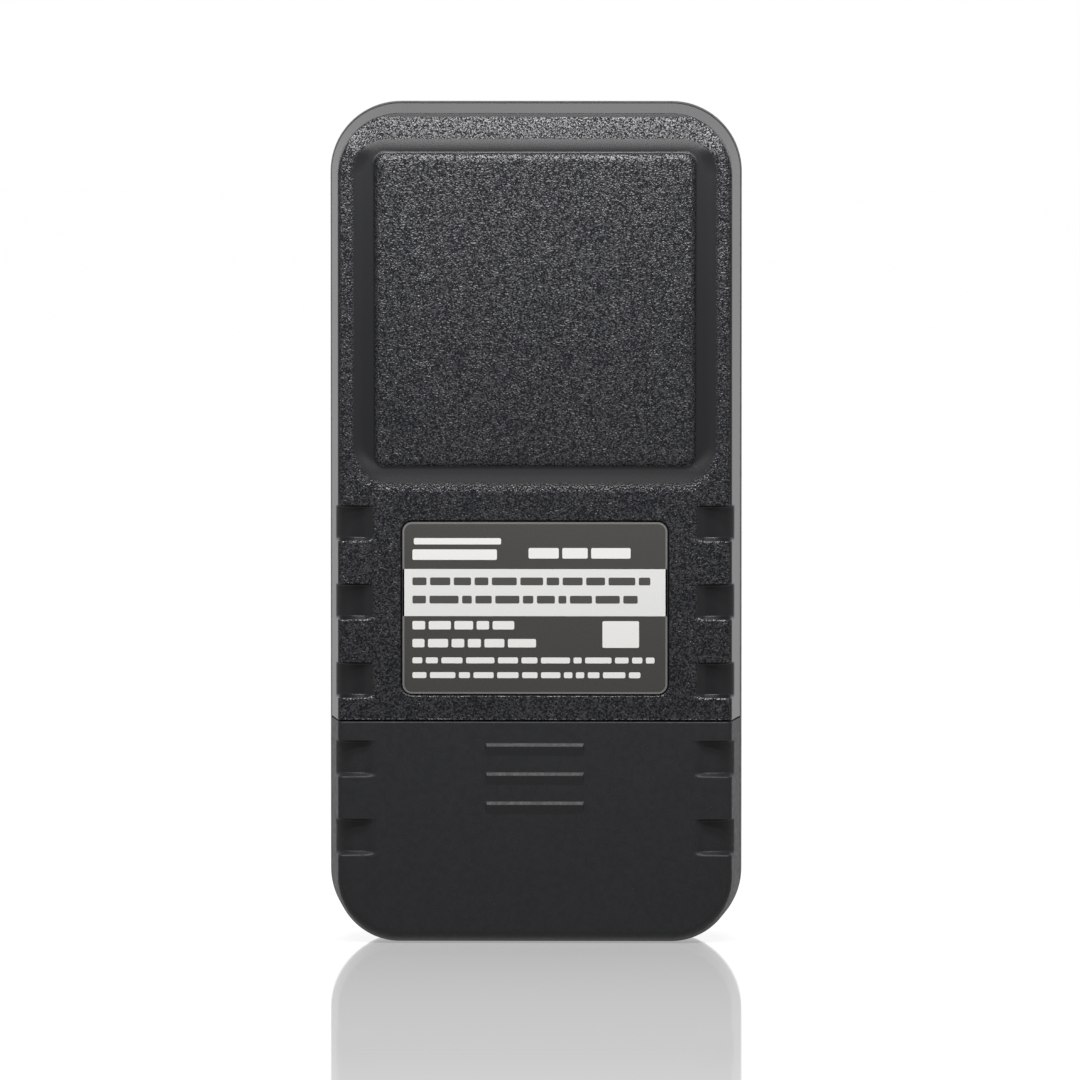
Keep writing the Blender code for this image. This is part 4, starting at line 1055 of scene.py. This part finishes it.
def make_cell(name, nub_side, finish):
    low, high = cad_box(name)
    centre = ((low.y + high.y) / 2, (low.z + high.z) / 2)
    base = -21.2
    nub = 23.3
    profile = [(2.2, base + 0.25), (3.6, base + 0.1), (4.5, base), (4.95, base + 0.03)]
    profile += [(5.17, base + 0.14), (5.25, base + 0.34), (5.25, 21.6), (5.2, 21.85), (5.0, 22.05)]
    profile += [(4.6, 22.1), (4.4, 21.9), (2.3, 21.95), (1.95, 22.1)]
    profile += [(1.9, nub - 0.3), (1.8, nub - 0.1), (1.5, nub)]
    profile = [(radius, nub_side * along) for radius, along in profile]
    cell = turned(f"{name}_fine", profile, centre, "X", 72)
    dress(cell, "case", finish, [name])


def make_spring(name, side):
    """A conical spring as a round wire swept along its helix."""
    low, high = cad_box(name)
    centre = Vector((0, (low.y + high.y) / 2, (low.z + high.z) / 2))
    turns, wire = 2.5, 0.22
    start, end = (21.77, 23.63)
    inner, outer = (1.9, 3.3)
    steps = 160
    sides = 10
    path = []
    for index in range(steps + 1):
        share = index / steps
        angle = 2 * math.pi * turns * share
        radius = inner + (outer - inner) * share
        x = side * (start + (end - start) * share)
        path.append(Vector((x, centre.y + radius * math.cos(angle), centre.z + radius * math.sin(angle))))
    rings = []
    for index, point in enumerate(path):
        ahead = path[min(index + 1, steps)] - path[max(index - 1, 0)]
        side_way = ahead.cross(Vector((1, 0, 0))).normalized()
        up_way = ahead.cross(side_way).normalized()
        ring = []
        for step in range(sides):
            turn = 2 * math.pi * step / sides
            ring.append(point + wire * (side_way * math.cos(turn) + up_way * math.sin(turn)))
        rings.append(ring)
    dress(loft(f"{name}_fine", rings), "case", "nickel", [name], 60)


def make_screw(node, cross):
    """A pan-head screw with a cross recess, in its CAD node's place."""
    low, high = cad_box(node)
    centre = ((low.x + high.x) / 2, (low.z + high.z) / 2)
    if cross < 0:
        head, tip, way = low.y, high.y, 1
    else:
        head, tip, way = high.y, low.y, -1
    profile = [(0.6, head), (1.2, head + way * 0.04), (1.55, head + way * 0.22)]
    profile += [(1.68, head + way * 0.45), (1.7, head + way), (1.0, head + way)]
    pitch = 0.4
    along = 1.3
    while along < abs(tip - head) - 0.9:
        profile += [(0.98, head + way * along), (0.8, head + way * (along + pitch / 2))]
        along += pitch
    profile += [(0.8, tip - way * 0.5), (0.45, tip)]
    screw = turned(f"{node}_fine", profile, centre, "Y", 24)
    recess = sorted((head - way, head + way * 0.55))
    for half_x, half_z in ((0.95, 0.19), (0.19, 0.95)):
        x = (centre[0] - half_x, centre[0] + half_x)
        z = (centre[1] - half_z, centre[1] + half_z)
        cut(screw, block("cross", x, recess, z))
    dress(screw, "case", "screw", [node], 35)


make_cell("battery_upper", -1, "cell_left")
make_cell("battery_lower", 1, "cell_right")
make_spring("negative_spring", -1)
make_spring("bridge_spring", 1)
for screw_name in sorted(NODES):
    if "_screw_" in screw_name:
        make_screw(screw_name, 1 if screw_name.startswith("antenna") else -1)


# ---- CAD nodes that stay

SWITCHES = ("measure", *KEY_NAMES)
STAYING = {
    "foam": ["door_foam_pad", "antenna_spacer"],
    "rubber": ["lens_gasket", "zebra_connector"],
    "plastic": ["lcd_frame", "header_socket"] + [f"{key}_switch_body" for key in SWITCHES],
    "plunger": [f"{key}_plunger" for key in SWITCHES],
    "lcd": ["lcd_panel"],
    "backlight": ["lcd_backlight"],
    "board": ["main_board"],
    "antenna": ["antenna_board"],
    "chip": ["processor_chip", "amplifier_chip"],
    "steel": ["crystal_can", "rf_shield_can"],
    "capacitor": ["smoothing_capacitor"],
    "brass": ["header_pins"],
    "nickel": ["positive_contact", "negative_contact", "bridge_contact"],
}
for finish_name, staying_nodes in STAYING.items():
    for staying_node in staying_nodes:
        kept = NODES[staying_node]
        kept.data.materials.clear()
        kept.data.materials.append(MATERIALS[finish_name])


# ---- floor, light and camera

def make_floor():
    """A white floor, lit from within so that it stays white, glossy where the object mirrors in it."""
    corners = [(-900, -1500, 0), (900, -1500, 0), (900, 2600, 0), (-900, 2600, 0)]
    floor = mesh_piece("floor", corners, [(0, 1, 2, 3)])
    made = Shader("floor_white", (0.35, 0.35, 0.35), 0.6)
    made.surface({"Specular IOR Level": 0.0, "Coat Roughness": 0.05})
    made.surface({"Emission Color": (1, 1, 1), "Emission Strength": 0.9})
    aside = made.falls(made.maths("ABSOLUTE", made.axis("X")), 60.0, 140.0)
    before = made.falls(made.axis("Y"), -10.0, 20.0)
    fading = made.remap(made.axis("Y"), -620.0, 40.0, 0.35, 1.0)
    made.surface({"Coat Weight": made.times(made.times(aside, before), fading)})
    floor.data.materials.append(made.material)
    floor.visible_diffuse = False
    floor.visible_glossy = False


def make_world():
    """A dim room with a white backdrop beyond the object and a pale table below. It looks plain white."""
    world = bpy.data.worlds.new("studio")
    room = Nodes(world)
    direction = room.node("ShaderNodeTexCoord", {}, "Generated")

    def rise(axis, start, end, amount):
        """Light that grows to amount as the direction's part along axis goes from start to end."""
        return room.remap(room.part(direction, axis), start, end, 0.0, amount)

    aside = room.add(rise("X", 0.0, 0.3, 0.3), rise("X", 0.0, -0.3, 0.3))
    horizon = room.remap(room.add(room.part(direction, "Z"), aside), -0.115, -0.06)
    light = room.add(room.times(rise("Y", 0.45, 0.92, 0.83), horizon), 0.095)
    table = ("Z", -0.2, -0.8, 0.45)
    for glow in (("Y", -0.2, -0.9, 0.1), table, ("X", 0.3, 0.9, 0.26), ("X", -0.3, -0.9, 0.26)):
        light = room.add(light, rise(*glow))
    camera_ray = room.node("ShaderNodeLightPath", {}, "Is Camera Ray")
    seen = room.node("ShaderNodeMix", {"Factor": camera_ray, "A": light, "B": 1.0}, "Result")
    room.put(room.tree.nodes["Background"], {"Color": (1, 1, 1), "Strength": seen})
    bpy.context.scene.world = world


def area_light(name, place, aim, size, power):
    light = bpy.data.lights.new(name, "AREA")
    light.shape = "RECTANGLE"
    light.size, light.size_y = size
    light.energy = power
    lamp = add_object(name, light)
    lamp.location = place
    lamp.rotation_euler = (Vector(aim) - Vector(place)).to_track_quat("-Z", "Y").to_euler()
    lamp.visible_camera = False


def make_camera():
    """A long lens, almost square to the back and a few degrees above it."""
    distance = 3.0
    width_at_back = 0.1534
    elevation = math.radians(3.3)
    azimuth = math.radians(0.9)
    target = Vector((0.73, -HALF_DEPTH, 57.45)) * MM
    camera = bpy.data.cameras.new("camera")
    camera.sensor_width = 36.0
    camera.lens = camera.sensor_width * distance / width_at_back
    camera.clip_end = 20.0
    holder = add_object("camera", camera)
    level = math.cos(elevation)
    backward = Vector((level * math.sin(azimuth), -level * math.cos(azimuth), math.sin(elevation)))
    holder.location = target + backward * distance
    holder.rotation_euler = (-backward).to_track_quat("-Z", "Y").to_euler()
    bpy.context.scene.camera = holder


make_floor()
make_world()
area_light("key", (0.0, -0.14, 0.32), (0.0, -0.01, 0.08), (0.26, 0.06), 0.85)
area_light("near", (0.0, -0.12, 0.155), (0.0, -0.01, 0.1), (0.2, 0.02), 0.145)
make_camera()
bpy.context.scene.view_settings.view_transform = "Standard"
